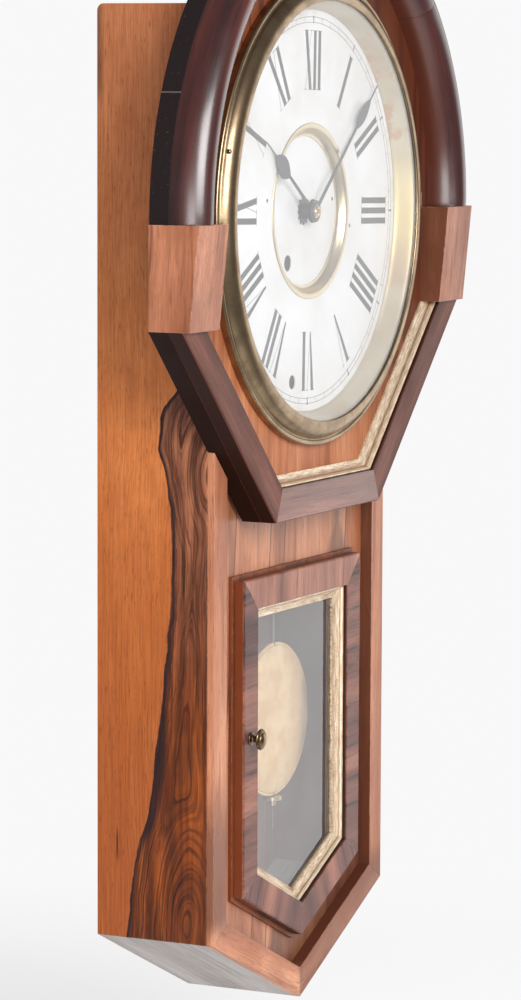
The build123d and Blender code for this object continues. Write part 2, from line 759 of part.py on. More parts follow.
def make_blocks():
    """The wedge blocks at three and nine o'clock, thicker at the top."""
    for name, sign in (("block_left", -1), ("block_right", 1)):
        low, high = sorted((sign * BLOCK_INNER, sign * BLOCK_HALF))
        side = Plane(origin=(low, 0, 0), x_dir=(0, 1, 0), z_dir=(1, 0, 0))
        with BuildPart() as block:
            with BuildSketch(side):
                with BuildLine():
                    Polyline(
                        (-CASE_DEPTH, BLOCK_TOP),
                        (-BLOCK_FRONT_TOP, BLOCK_TOP),
                        (-BLOCK_FRONT_BOTTOM, BLOCK_BOTTOM),
                        (-CASE_DEPTH, BLOCK_BOTTOM),
                        close=True,
                    )
                make_face()
            extrude(amount=high - low)
        save(block.part, name)


def make_octagon():
    """The octagon's three front rails and the gilt moulding inside them."""
    left_foot = Plane(origin=(0, 0, BLOCK_BOTTOM), z_dir=(0, 0, 1))
    right_foot = Plane(origin=(0, 0, BLOCK_BOTTOM), z_dir=(0, 0, -1))
    rail_profile = [
        (0, HEAD_FRONT),
        (0, OCTAGON_FRONT - 0.8),
        (0.8, OCTAGON_FRONT),
        (OCTAGON_WIDTH, OCTAGON_FRONT),
        (OCTAGON_WIDTH, HEAD_FRONT),
    ]
    chain = octagon_chain()
    right, bottom, left = mitred_chain(chain, rail_profile, right_foot, left_foot)
    save(right, "octagon_rail_right")
    save(bottom, "octagon_rail_bottom")
    save(left, "octagon_rail_left")
    start = OCTAGON_WIDTH
    gilt_profile = [
        (start, HEAD_FRONT),
        (start, OCTAGON_GILT_FRONT - 0.4),
        (start + 0.6, OCTAGON_GILT_FRONT),
        (start + 1.6, OCTAGON_GILT_FRONT),
        (start + 2.2, OCTAGON_GILT_FRONT - 1.2),
        (start + 2.8, OCTAGON_GILT_FRONT - 3.6),
        (start + 4.2, OCTAGON_GILT_FRONT - 6.2),
        (start + 6.0, OCTAGON_GILT_FRONT - 7.8),
        (start + OCTAGON_GILT, OCTAGON_GILT_FRONT - 8.2),
        (start + OCTAGON_GILT, HEAD_FRONT),
    ]
    save(Compound(children=mitred_chain(chain, gilt_profile, right_foot, left_foot)), "octagon_gilt")


# ---------------------------------------------------------------- dial and bezel
def make_dial():
    """The painted dial with its sunk centre, and the brass ring that lines the step."""
    wall = CENTRE_RADIUS + DIAL_SHEET
    section = [
        (DIAL_HOLE, CENTRE_FRONT - DIAL_SHEET),
        (wall, CENTRE_FRONT - DIAL_SHEET),
        (wall, DIAL_FRONT - DIAL_SHEET),
        (DIAL_RADIUS, DIAL_FRONT - DIAL_SHEET),
        (DIAL_RADIUS, DIAL_FRONT),
        (CENTRE_RADIUS, DIAL_FRONT),
        (CENTRE_RADIUS, CENTRE_FRONT),
        (DIAL_HOLE, CENTRE_FRONT),
    ]
    with BuildPart() as dial:
        add(turned_ring(section))
        with BuildSketch(at(0, DIAL_Z, CENTRE_FRONT - 5)):
            with Locations(WINDING_AT):
                Circle(WINDING_HOLE)
            with Locations(LOWER_HOLE_AT):
                Circle(LOWER_HOLE)
            with PolarLocations(DIAL_SCREW_CIRCLE, 4, start_angle=45):
                Circle(DIAL_SCREW)
        extrude(amount=20, mode=Mode.SUBTRACT)
    save(dial.part, "dial")

    ring = [
        (CENTRE_RADIUS, CENTRE_FRONT),
        (CENTRE_RADIUS, DIAL_FRONT),
        (64.0, DIAL_FRONT),
        (64.0, DIAL_FRONT + 0.5),
        (63.3, DIAL_FRONT + 0.9),
        (62.2, DIAL_FRONT + 0.9),
        (61.0, DIAL_FRONT + 0.5),
        (59.6, DIAL_FRONT + 0.1),
        (57.2, CENTRE_FRONT + 2.6),
        (55.6, CENTRE_FRONT + 1.2),
        (54.4, CENTRE_FRONT + 0.9),
        (54.2, CENTRE_FRONT),
    ]
    save(turned_ring(ring), "dial_centre_ring")


def make_bezel():
    """The spun brass bezel with its hinge barrel, the glass, and the sloping ring behind the glass."""
    x, depth = BEZEL_HINGE
    low, high = DIAL_Z - BEZEL_BARREL_HALF, DIAL_Z + BEZEL_BARREL_HALF
    lip = BEZEL_LIP_FRONT
    section = [
        (BEZEL_RADIUS, HEAD_FRONT + 0.5),
        (BEZEL_RADIUS, 108.2),
        (169.4, 109.2),
        (168.2, 109.7),
        (166.6, 109.6),
        (165.6, 108.9),
        (164.8, 109.4),
        (163.6, 110.6),
        (161.0, 112.9),
        (157.6, 115.0),
        (154.6, lip - 0.1),
        (153.2, lip),
        (BEZEL_SIGHT, lip - 0.4),
        (BEZEL_SIGHT, DIAL_GLASS_FRONT),
        (153.8, DIAL_GLASS_FRONT),
        (157.2, DIAL_GLASS_FRONT - 1.2),
        (160.6, 111.4),
        (163.6, 108.4),
        (168.6, 107.6),
        (168.8, HEAD_FRONT + 0.5),
    ]
    with BuildPart() as bezel:
        add(turned_ring(section))
        add(slab(BEZEL_RADIUS - 1.0, x, depth - 0.6, depth + 0.6, low, high))
        add(knuckle(x, depth, low, high, HINGE_PIN + HINGE_RUN))
    bored = clear_pin(bezel.part, x, depth, HINGE_PIN + HINGE_RUN, low, high)
    save(bored, "bezel")

    with BuildPart() as glass:
        with BuildSketch(at(0, DIAL_Z, DIAL_GLASS_FRONT - DIAL_GLASS)):
            Circle(153.4)
        extrude(amount=DIAL_GLASS)
    save(glass.part, "dial_glass")

    back = DIAL_GLASS_FRONT - DIAL_GLASS
    sight = [
        (150.6, back),
        (155.4, back),
        (155.4, back - 0.9),
        (151.6, back - 0.9),
        (146.2, DIAL_FRONT + 0.9),
        (146.2, DIAL_FRONT + 0.3),
        (SIGHT_AT_DIAL, DIAL_FRONT + 0.3),
        (SIGHT_AT_DIAL - 0.2, DIAL_FRONT + 0.9),
    ]
    save(turned_ring(sight), "sight_ring")


# ---------------------------------------------------------------- hands
def make_hand(name, back, reach, angle, boss, bore, leaf_at, leaf_half, leaf_wide, tail):
    """A blued steel hand: a boss, a tapering stem, a leaf and a fine point."""
    turn = radians(angle)
    plane = Plane(
        origin=(0, -back, DIAL_Z),
        x_dir=(cos(turn), 0, -sin(turn)),
        z_dir=(0, -1, 0),
    )
    low, high = leaf_at - leaf_half, leaf_at + leaf_half
    with BuildPart() as hand:
        with BuildSketch(plane):
            with BuildLine():
                Polyline((-tail, 0), (-tail * 0.7, low), (tail * 0.7, low), (tail, 0), close=True)
            make_face()
            with BuildLine():
                Spline((0, low - 1.5), (leaf_wide, leaf_at - leaf_half * 0.35), (0.5, high))
                Line((0.5, high), (-0.5, high))
                Spline((-0.5, high), (-leaf_wide, leaf_at - leaf_half * 0.35), (0, low - 1.5))
            make_face()
            with BuildLine():
                Polyline((-0.6, high - 1), (0.6, high - 1), (0.25, reach), (-0.25, reach), close=True)
            make_face()
            Circle(boss)
            Circle(bore, mode=Mode.SUBTRACT)
        extrude(amount=HAND_SHEET)
    save(hand.part, name)


def make_hands():
    """The hour and minute hands and the domed nut in front of them."""
    make_hand("hour_hand", HOUR_HAND_BACK, HOUR_REACH, HOUR_ANGLE, 8.6, HOUR_PIPE, 60.0, 13.0, 7.5, 1.6)
    make_hand(
        "minute_hand", MINUTE_HAND_BACK, MINUTE_REACH, MINUTE_ANGLE, 8.0, CANNON_PIPE, 107.0, 16.0, 4.4, 1.6
    )
    front = MINUTE_HAND_BACK + HAND_SHEET
    nut = [
        (CENTRE_ARBOR + RUN, front),
        (HAND_NUT, front),
        (HAND_NUT, front + 0.6),
        (HAND_NUT - 1.0, front + 1.2),
        (HAND_NUT - 1.4, front + 2.0),
        (HAND_NUT - 2.4, front + 2.5),
        (CENTRE_ARBOR + RUN, front + 2.6),
    ]
    save(turned_ring(nut), "hand_nut")


# ---------------------------------------------------------------- movement
def mesh_distance(first, second, module):
    """Centre distance of two gears."""
    return (first + second) * module / 2


def meet(a, b, reach_a, reach_b, side):
    """The point at two distances from two others, on the chosen side of the line from a to b."""
    gap = hypot(b[0] - a[0], b[1] - a[1])
    along = (reach_a ** 2 - reach_b ** 2 + gap ** 2) / (2 * gap)
    off = side * (reach_a ** 2 - along ** 2) ** 0.5
    ux, uz = unit(a, b)
    return a[0] + along * ux - off * uz, a[1] + along * uz + off * ux


CENTRE_AT = (0.0, 0.0)
MINUTE_AT = (0.0, mesh_distance(CANNON_TEETH, MINUTE_TEETH, MOTION_MODULE))
HOUR_MODULE = 2 * MINUTE_AT[1] / (MINUTE_PINION + HOUR_TEETH)
SECOND_AT = meet(
    WINDING_AT,
    CENTRE_AT,
    mesh_distance(GREAT_TEETH, SECOND_PINION, GREAT_MODULE),
    mesh_distance(SECOND_TEETH, CENTRE_PINION, SECOND_MODULE),
    1,
)
THIRD_AT = meet(
    CENTRE_AT,
    ESCAPE_AT,
    mesh_distance(CENTRE_TEETH, THIRD_PINION, CENTRE_MODULE),
    mesh_distance(THIRD_TEETH, ESCAPE_PINION, THIRD_MODULE),
    1,
)


def heading(a, b):
    """The angle of b seen from a, in radians, anticlockwise from +X."""
    return atan2(b[1] - a[1], b[0] - a[0])


def gear_points(teeth, module, first_tooth, is_pinion):
    """A gear's outline: tapered teeth, the first at an angle in radians."""
    pitch_radius = teeth * module / 2
    root = pitch_radius - (1.35 if is_pinion else 1.15) * module
    tip = pitch_radius + (0.55 if is_pinion else 0.8) * module
    step = 2 * pi / teeth
    root_half = step * (0.20 if is_pinion else 0.24)
    tip_half = step * (0.10 if is_pinion else 0.07)
    points = []
    for k in range(teeth):
        middle = first_tooth + k * step
        for radius, offset in (
            (root, -root_half),
            (tip, -tip_half),
            (tip, tip_half),
            (root, root_half),
        ):
            points.append((radius * cos(middle + offset), radius * sin(middle + offset)))
    return points


def driver_phase(here, there):
    """A driving wheel has a tooth on the line of centres."""
    return heading(here, there)


def driven_phase(here, there, teeth):
    """A driven pinion has a gap on the line of centres."""
    return heading(here, there) + pi / teeth


def wheel_body(at_point, gears, shafts, hollow=0.0, spokes=()):
    """An arbor with its wheels and pinions as one turning piece.

    gears: (teeth, module, phase, is_pinion, depth, thickness); shafts: (radius, low, high).
    """
    x, z = at_point[0], DIAL_Z + at_point[1]
    with BuildPart() as body:
        for radius, low, high in shafts:
            with BuildSketch(at(x, z, low)):
                Circle(radius)
            extrude(amount=high - low)
        for teeth, module, phase, is_pinion, depth, thickness in gears:
            with BuildSketch(at(x, z, depth)):
                with BuildLine():
                    Polyline(*gear_points(teeth, module, phase, is_pinion), close=True)
                make_face()
            extrude(amount=thickness)
        for depth, thickness, ring_radius, hole_radius, count in spokes:
            with BuildSketch(at(x, z, depth - 0.1)):
                with PolarLocations(ring_radius, count):
                    Circle(hole_radius)
            extrude(amount=thickness + 0.2, mode=Mode.SUBTRACT)
        if hollow:
            with BuildSketch(at(x, z, 0)):
                Circle(hollow)
            extrude(amount=140, mode=Mode.SUBTRACT)
    return body.part


def pivots(low, high, radius):
    """Shaft sections of an arbor: its body between the plates and a pivot in each plate."""
    inside_low, inside_high = BACK_PLATE + PLATE + SHAKE, FRONT_PLATE - SHAKE
    return [(PIVOT, low, high), (radius, inside_low, inside_high)]


def make_train():
    """The going train from the mainspring's great wheel to the escape wheel."""
    through = pivots(BACK_PLATE - PIVOT_SPARE, FRONT_PLATE + PLATE + PIVOT_SPARE, ARBOR)
    great = (
        GREAT_TEETH,
        GREAT_MODULE,
        driver_phase(WINDING_AT, SECOND_AT),
        False,
        GREAT_DEPTH,
        GREAT_WHEEL,
    )
    spokes = [(GREAT_DEPTH, GREAT_WHEEL, 19.5, 4.6, 6)]
    save(
        wheel_body(WINDING_AT, [great], [], WINDING_ARBOR + RUN, spokes),
        "great_wheel",
    )

    pinion = (
        SECOND_PINION,
        GREAT_MODULE,
        driven_phase(SECOND_AT, WINDING_AT, SECOND_PINION),
        True,
        GREAT_DEPTH - 1.0,
        PINION,
    )
    wheel = (
        SECOND_TEETH,
        SECOND_MODULE,
        driver_phase(SECOND_AT, CENTRE_AT),
        False,
        SECOND_DEPTH,
        WHEEL,
    )
    save(
        wheel_body(SECOND_AT, [pinion, wheel], through, 0, [(SECOND_DEPTH, WHEEL, 14.0, 5.0, 5)]),
        "second_wheel",
    )

    pinion = (
        CENTRE_PINION,
        SECOND_MODULE,
        driven_phase(CENTRE_AT, SECOND_AT, CENTRE_PINION),
        True,
        SECOND_DEPTH - 1.3,
        PINION,
    )
    wheel = (
        CENTRE_TEETH,
        CENTRE_MODULE,
        driver_phase(CENTRE_AT, THIRD_AT),
        False,
        CENTRE_DEPTH,
        WHEEL,
    )
    tip = MINUTE_HAND_BACK + HAND_SHEET + 3.4
    shafts = [
        (PIVOT, BACK_PLATE - PIVOT_SPARE, BACK_PLATE + PLATE + PIVOT_SPARE),
        (CENTRE_ARBOR, BACK_PLATE + PLATE + SHAKE, tip),
    ]
    save(
        wheel_body(CENTRE_AT, [pinion, wheel], shafts, 0, [(CENTRE_DEPTH, WHEEL, 14.5, 5.2, 5)]),
        "centre_wheel",
    )

    pinion = (
        THIRD_PINION,
        CENTRE_MODULE,
        driven_phase(THIRD_AT, CENTRE_AT, THIRD_PINION),
        True,
        CENTRE_DEPTH - 1.3,
        PINION,
    )
    wheel = (
        THIRD_TEETH,
        THIRD_MODULE,
        driver_phase(THIRD_AT, ESCAPE_AT),
        False,
        THIRD_DEPTH,
        WHEEL,
    )
    save(
        wheel_body(THIRD_AT, [pinion, wheel], through, 0, [(THIRD_DEPTH, WHEEL, 11.0, 4.0, 5)]),
        "third_wheel",
    )

    pinion = (
        ESCAPE_PINION,
        THIRD_MODULE,
        driven_phase(ESCAPE_AT, THIRD_AT, ESCAPE_PINION),
        True,
        THIRD_DEPTH - 1.3,
        PINION,
    )
    shafts = [
        (PIVOT, BACK_PLATE - PIVOT_SPARE, ESCAPE_DEPTH + 2.0),
        (ESCAPE_ARBOR, BACK_PLATE + PLATE + SHAKE, FRONT_PLATE - SHAKE),
    ]
    with BuildPart() as escape:
        add(wheel_body(ESCAPE_AT, [pinion], shafts))
        with BuildSketch(at(ESCAPE_AT[0], DIAL_Z + ESCAPE_AT[1], ESCAPE_DEPTH)):
            with BuildLine():
                Polyline(*escape_points(), close=True)
            make_face()
            with PolarLocations(6.4, 4):
                Circle(2.4, mode=Mode.SUBTRACT)
        extrude(amount=ESCAPE_WHEEL)
    save(escape.part, "escape_wheel")


def escape_points():
    """The escape wheel's raked, pointed teeth."""
    step = 2 * pi / ESCAPE_TEETH
    root = ESCAPE_RADIUS - 1.9
    points = []
    for k in range(ESCAPE_TEETH):
        angle = k * step
        points.append((root * cos(angle), root * sin(angle)))
        points.append((ESCAPE_RADIUS * cos(angle + 0.62 * step), ESCAPE_RADIUS * sin(angle + 0.62 * step)))
        points.append((ESCAPE_RADIUS * cos(angle + 0.74 * step), ESCAPE_RADIUS * sin(angle + 0.74 * step)))
        points.append((root * cos(angle + 0.86 * step), root * sin(angle + 0.86 * step)))
    return points


def make_motion_work():
    """The twelve-to-one gearing behind the dial: cannon pinion, minute wheel and hour wheel."""
    cannon = (CANNON_TEETH, MOTION_MODULE, driver_phase(CENTRE_AT, MINUTE_AT), True, CANNON_DEPTH, 3.0)
    pipe = [(CANNON_PIPE, CANNON_DEPTH - 1.5, MINUTE_HAND_BACK + HAND_SHEET)]
    save(wheel_body(CENTRE_AT, [cannon], pipe, CENTRE_ARBOR + RUN), "cannon_pinion")

    minute = (
        MINUTE_TEETH,
        MOTION_MODULE,
        driven_phase(MINUTE_AT, CENTRE_AT, MINUTE_TEETH),
        False,
        CANNON_DEPTH + 0.5,
        MOTION_WHEEL,
    )
    leaf = (MINUTE_PINION, HOUR_MODULE, driver_phase(MINUTE_AT, CENTRE_AT), True, HOUR_DEPTH - 2.5, 5.0)
    save(wheel_body(MINUTE_AT, [minute, leaf], [], MOTION_STUD + RUN), "minute_wheel")

    hour = (
        HOUR_TEETH,
        HOUR_MODULE,
        driven_phase(CENTRE_AT, MINUTE_AT, HOUR_TEETH),
        False,
        HOUR_DEPTH,
        MOTION_WHEEL,
    )
    pipe = [(HOUR_PIPE, HOUR_DEPTH, HOUR_HAND_BACK + HAND_SHEET)]
    save(wheel_body(CENTRE_AT, [hour], pipe, CANNON_PIPE + RUN), "hour_wheel")


def pillar_places():
    """The four pillars' places, as (x, z) from the origin."""
    return [
        (x, DIAL_Z + z)
        for x in (PLATE_LEFT + PILLAR_INSET, PLATE_RIGHT - PILLAR_INSET)
        for z in (PLATE_BOTTOM + PILLAR_INSET, PLATE_TOP - PILLAR_INSET)
    ]


def make_plates():
    """The two brass plates with their pivot holes."""
    pillar_points = pillar_places()
    middle = ((PLATE_LEFT + PLATE_RIGHT) / 2, DIAL_Z + (PLATE_BOTTOM + PLATE_TOP) / 2)
    size = (PLATE_RIGHT - PLATE_LEFT, PLATE_TOP - PLATE_BOTTOM)
    fine = [(p[0], DIAL_Z + p[1]) for p in (SECOND_AT, THIRD_AT, ESCAPE_AT)]
    centre = (0.0, DIAL_Z)
    winding = (WINDING_AT[0], DIAL_Z + WINDING_AT[1])
    slots = ((PLATE_RIGHT - 14, DIAL_Z + 8), (PLATE_LEFT + 26, DIAL_Z + 24))
    studs = [(p[0], DIAL_Z + p[1]) for p in (VERGE_AT, SUSPENSION_AT, MINUTE_AT)]
    stud_radii = (VERGE_STUD, SUSPENSION_NECK, MOTION_STUD)
    for name, depth, centre_hole in (
        ("movement_back_plate", BACK_PLATE, PIVOT + RUN),
        ("movement_front_plate", FRONT_PLATE, CENTRE_ARBOR + RUN),
    ):
        with BuildPart() as sheet:
            with BuildSketch(Plane.XZ.offset(depth)):
                with Locations(middle):
                    RectangleRounded(size[0], size[1], 5.0)
                with Locations(*fine):
                    Circle(PIVOT + RUN, mode=Mode.SUBTRACT)
                with Locations(centre):
                    Circle(centre_hole, mode=Mode.SUBTRACT)
                with Locations(winding):
                    Circle(WINDING_ARBOR + RUN, mode=Mode.SUBTRACT)
                with Locations(*pillar_points):
                    Circle(PILLAR_NECK, mode=Mode.SUBTRACT)
                with Locations(*slots):
                    Circle(PLATE_SLOT, mode=Mode.SUBTRACT)
                if name == "movement_front_plate":
                    for place, radius in zip(studs, stud_radii):
                        with Locations(place):
                            Circle(radius, mode=Mode.SUBTRACT)
            extrude(amount=PLATE)
        save(sheet.part, name)


def make_pillars():
    """Four pillars from the backboard through both plates, and the front plate's three studs."""
    pieces = []
    for x, z in pillar_places():
        with BuildPart() as pillar:
            for radius, low, high in (
                (PILLAR, BACK_BOARD, BACK_PLATE),
                (PILLAR_NECK, BACK_PLATE, BACK_PLATE + PLATE),
                (PILLAR, BACK_PLATE + PLATE, FRONT_PLATE),
                (PILLAR_NECK, FRONT_PLATE, FRONT_PLATE + PLATE),
                (PILLAR, FRONT_PLATE + PLATE, FRONT_PLATE + PLATE + 2.4),
            ):
                with BuildSketch(at(x, z, low)):
                    Circle(radius)
                extrude(amount=high - low)
            with BuildSketch(at(x, z, BACK_BOARD)):
                Circle(SCREW)
            extrude(amount=8.0, mode=Mode.SUBTRACT)
        pieces.append(pillar.part)
    front = FRONT_PLATE + PLATE
    for place, neck, body, reach in (
        (VERGE_AT, VERGE_STUD, VERGE_STUD, PENDULUM_DEPTH - 1.8),
        (SUSPENSION_AT, SUSPENSION_NECK, SUSPENSION_STUD, PENDULUM_DEPTH + 3.0),
        (MINUTE_AT, MOTION_STUD, MOTION_STUD, HOUR_DEPTH + 3.5),
    ):
        x, z = place[0], DIAL_Z + place[1]
        with BuildPart() as stud:
            with BuildSketch(at(x, z, FRONT_PLATE)):
                Circle(neck)
            extrude(amount=PLATE)
            with BuildSketch(at(x, z, front)):
                Circle(body)
            extrude(amount=reach - front)
        pieces.append(stud.part)
    save(Compound(children=pieces), "movement_pillars")


def make_winding():
    """The winding arbor with its ratchet, the click, and the coiled mainspring."""
    x, z = WINDING_AT[0], DIAL_Z + WINDING_AT[1]
    ratchet_depth = GREAT_DEPTH + 2.3
    step = 2 * pi / RATCHET_TEETH
    points = []
    for k in range(RATCHET_TEETH):
        points.append((RATCHET_ROOT * cos(k * step), RATCHET_ROOT * sin(k * step)))
        lead = (k + 0.06) * step
        points.append((RATCHET_TIP * cos(lead), RATCHET_TIP * sin(lead)))
    front = FRONT_PLATE + PLATE
    with BuildPart() as arbor:
        for radius, low, high in (
            (WINDING_ARBOR, BACK_PLATE - PIVOT_SPARE, front + 3.0),
            (SPRING_HUB, BACK_PLATE + PLATE + SHAKE, GREAT_DEPTH - SHAKE),
        ):
            with BuildSketch(at(x, z, low)):
                Circle(radius)
            extrude(amount=high - low)
        with BuildSketch(at(x, z, ratchet_depth)):
            with BuildLine():
                Polyline(*points, close=True)
            make_face()
        extrude(amount=RATCHET_SHEET)
        with BuildSketch(at(x, z, front + 2.0)):
            Rectangle(WINDING_SQUARE, WINDING_SQUARE)
        extrude(amount=CENTRE_FRONT - front - 6.0)
    save(arbor.part, "winding_arbor")

    click_x, click_z = x + CLICK_AT[0], z + CLICK_AT[1]
    with BuildPart() as click:
        with BuildSketch(at(click_x, click_z, ratchet_depth)):
            Circle(CLICK_HUB)
            with BuildLine():
                Polyline((-1.8, 0.0), (-1.2, -7.2), (1.4, -6.2), (1.8, 0.0), close=True)
            make_face()
        extrude(amount=CLICK_SHEET)
    save(click.part, "click")

    # two-centre spiral of half turns, in the space beside the great wheel
    half_sheet = SPRING_SHEET / 2
    shift = SPRING_PITCH / 2
    outer, inner = [], []
    for half_turn in range(2 * SPRING_TURNS):
        upper = half_turn % 2 == 0
        centre = 0.0 if upper else shift
        radius = SPRING_START + half_turn * shift
        outer.append((centre, radius + half_sheet, upper))
        inner.append((centre, radius - half_sheet, upper))
    end_x = SPRING_START + 2 * SPRING_TURNS * shift
    with BuildPart() as spring:
        with BuildSketch(at(x, z, BACK_PLATE + PLATE + 2.0)):
            with BuildLine():
                half_turns(outer)
                half_turns(inner)
                Line((SPRING_START - half_sheet, 0), (SPRING_START + half_sheet, 0))
                Line((end_x - half_sheet, 0), (end_x + half_sheet, 0))
            make_face()
        extrude(amount=SPRING_WIDTH)
    save(spring.part, "mainspring")


def half_turns(arcs):
    """Half circles about centres on the X axis, each starting where the last one ends."""
    for centre, radius, upper in arcs:
        if upper:
            CenterArc((centre, 0), radius, 0, 180)
        else:
            CenterArc((centre, 0), radius, 180, 180)


def make_verge():
    """The strip verge over the escape wheel, with the crutch that holds the pendulum rod."""
    x, z = VERGE_AT[0], DIAL_Z + VERGE_AT[1]
    wheel_x, wheel_z = ESCAPE_AT[0] - VERGE_AT[0], ESCAPE_AT[1] - VERGE_AT[1]
    toward = atan2(wheel_z, wheel_x)
    tip = ESCAPE_RADIUS + PALLET_REACH
    pallets = []
    for side in (-1, 1):
        angle = toward + pi + side * radians(PALLET_SPREAD)
        pallets.append((wheel_x + tip * cos(angle), wheel_z + tip * sin(angle)))
    collar = ESCAPE_DEPTH + 1.2
    with BuildPart() as verge:
        with BuildSketch(at(x, z, ESCAPE_DEPTH - 0.2)):
            Circle(VERGE_HUB)
            for px, pz in pallets:
                length = hypot(px, pz)
                nx, nz = -pz / length, px / length
                root, end = PALLET_ROOT_HALF, PALLET_TIP_HALF
                with BuildLine():
                    Polyline(
                        (nx * root, nz * root),
                        (px + nx * end, pz + nz * end),
                        (px - nx * end, pz - nz * end),
                        (-nx * root, -nz * root),
                        close=True,
                    )
                make_face()
            with Locations((wheel_x, wheel_z)):
                Circle(tip, mode=Mode.SUBTRACT)
            Circle(VERGE_STUD + RUN, mode=Mode.SUBTRACT)
        extrude(amount=VERGE_SHEET)
        with BuildSketch(at(x, z, collar)):
            Circle(VERGE_COLLAR)
            Circle(VERGE_STUD + RUN, mode=Mode.SUBTRACT)
        extrude(amount=PENDULUM_DEPTH - ROD - 0.4 - collar)
        with BuildSketch(at(x - CRUTCH_HALF, z, collar + 0.2)):
            with Locations((0.6, -0.5)):
                Rectangle(2.0, 2.0)
            with Locations((0, -CRUTCH_DROP / 2)):
                Rectangle(CRUTCH_WIRE, CRUTCH_DROP)
        extrude(amount=CRUTCH_WIRE)
        with BuildSketch(Plane(origin=(x, 0, z - CRUTCH_DROP), x_dir=(1, 0, 0), z_dir=(0, 0, 1))):
            with Locations((-CRUTCH_HALF, -(PENDULUM_DEPTH - 0.9))):
                Rectangle(CRUTCH_WIRE, 6.6)
            with Locations((CRUTCH_HALF, -PENDULUM_DEPTH)):
                Rectangle(CRUTCH_WIRE, 4.8)
            with Locations((0, -(PENDULUM_DEPTH + 3.0))):
                Rectangle(2 * CRUTCH_HALF + CRUTCH_WIRE, CRUTCH_WIRE)
        extrude(amount=CRUTCH_FORK)
    save(verge.part, "verge")


# ---------------------------------------------------------------- pendulum
def make_pendulum():
    """Suspension spring, rod, brass bob and rating nut."""
    x, z = SUSPENSION_AT[0], DIAL_Z + SUSPENSION_AT[1]
    spring_top = z - SUSPENSION_STUD - 0.3
    spring_low = spring_top - SPRING_DROP
    bob_foot = BOB_Z - BOB_RADIUS
    save(
        slab(
            x - SPRING_LEAF / 2,
            x + SPRING_LEAF / 2,
            PENDULUM_DEPTH - SPRING_LEAF_WIDTH / 2,
            PENDULUM_DEPTH + SPRING_LEAF_WIDTH / 2,
            spring_low,
            spring_top,
        ),
        "suspension_spring",
    )
    with BuildPart() as rod:
        for radius, low, high in ((ROD, bob_foot, spring_low), (ROD_TIP, ROD_END, bob_foot)):
            with BuildSketch(Plane.XY.offset(low)):
                with Locations((x, -PENDULUM_DEPTH)):
                    Circle(radius)
            extrude(amount=high - low)
    save(rod.part, "pendulum_rod")

    front, back = PENDULUM_DEPTH + BOB_SWELL_FRONT, PENDULUM_DEPTH - BOB_SWELL_BACK
    rim = PENDULUM_DEPTH
    flank = BOB_RADIUS - BOB_RIM
    with BuildPart() as bob:
        with BuildSketch(Plane(origin=(0, 0, BOB_Z), x_dir=(1, 0, 0), z_dir=(0, 0, 1))):
            with BuildLine():
                ThreePointArc((0, -front), (BOB_RADIUS * 0.6, -(front - 1.3)), (flank, -(rim + 1.0)))
                Line((flank, -(rim + 1.0)), (BOB_RADIUS, -rim))
                Line((BOB_RADIUS, -rim), (flank, -(rim - 1.0)))
                ThreePointArc((flank, -(rim - 1.0)), (BOB_RADIUS * 0.6, -(back + 1.5)), (0, -back))
                Line((0, -back), (0, -front))
            make_face()
        revolve(axis=Axis((0, 0, BOB_Z), (0, -1, 0)))
        with BuildSketch(Plane.XY.offset(bob_foot - 5)):
            with Locations((0, -PENDULUM_DEPTH)):
                Circle(ROD)
        extrude(amount=2 * BOB_RADIUS + 10, mode=Mode.SUBTRACT)
    save(bob.part, "pendulum_bob")

    with BuildPart() as nut:
        with BuildSketch(Plane.XY.offset(RATING_NUT_TOP - RATING_NUT_DISC)):
            with Locations((0, -PENDULUM_DEPTH)):
                Circle(RATING_NUT)
                with PolarLocations(RATING_NUT + 0.4, RATING_NUT_GROOVES):
                    Circle(0.55, mode=Mode.SUBTRACT)
        extrude(amount=RATING_NUT_DISC)
        with BuildSketch(Plane.XY.offset(RATING_NUT_TOP - RATING_NUT_DROP)):
            with Locations((0, -PENDULUM_DEPTH)):
                Circle(RATING_NUT_HUB)
        extrude(amount=RATING_NUT_DROP)
        with BuildSketch(Plane.XY.offset(RATING_NUT_TOP - RATING_NUT_DROP - 1)):
            with Locations((0, -PENDULUM_DEPTH)):
                Circle(ROD_TIP + RUN)
        extrude(amount=RATING_NUT_DROP + 2, mode=Mode.SUBTRACT)
    save(nut.part, "rating_nut")


# ---------------------------------------------------------------- screws
def screw(plane, head, head_height, shank_length):
    """A round-headed wood screw whose head rests on a plane and stands out along its normal."""
    with BuildPart() as piece:
        with BuildSketch(plane):
            Circle(head)
        extrude(amount=head_height, taper=20)
        with BuildSketch(plane):
            Circle(SCREW)
        extrude(amount=-shank_length)
    return piece.part


def make_screws():
    """Hanger screws at the back, pillar screws inside, and the dial's four pins."""
    pieces = []
    for drop in (HANGER_SCREW_DROP, -HANGER_SCREW_DROP):
        seat = Plane(origin=(0, -HANGER_SCREW_SEAT, drop), x_dir=(1, 0, 0), z_dir=(0, 1, 0))
        pieces.append(screw(seat, SCREW_HEAD, 1.0, SCREW_DEEP + 0.5))
    for x, z in pillar_places():
        with BuildPart() as dowel:
            with BuildSketch(at(x, z, BACK_BOARD - PILLAR_DOWEL_DEEP)):
                Circle(SCREW)
            extrude(amount=PILLAR_DOWEL_DEEP + 8.0)
        pieces.append(dowel.part)
    for quarter in range(4):
        angle = radians(45 + 90 * quarter)
        x = DIAL_SCREW_CIRCLE * cos(angle)
        z = DIAL_Z + DIAL_SCREW_CIRCLE * sin(angle)
        with BuildPart() as pin:
            with BuildSketch(at(x, z, DIAL_FRONT)):
                Circle(DIAL_SCREW_HEAD)
            extrude(amount=0.9)
            with BuildSketch(at(x, z, DIAL_FRONT)):
                Circle(DIAL_SCREW)
            extrude(amount=-DIAL_SCREW_DEEP)
        pieces.append(pin.part)
    save(Compound(children=pieces), "screws")


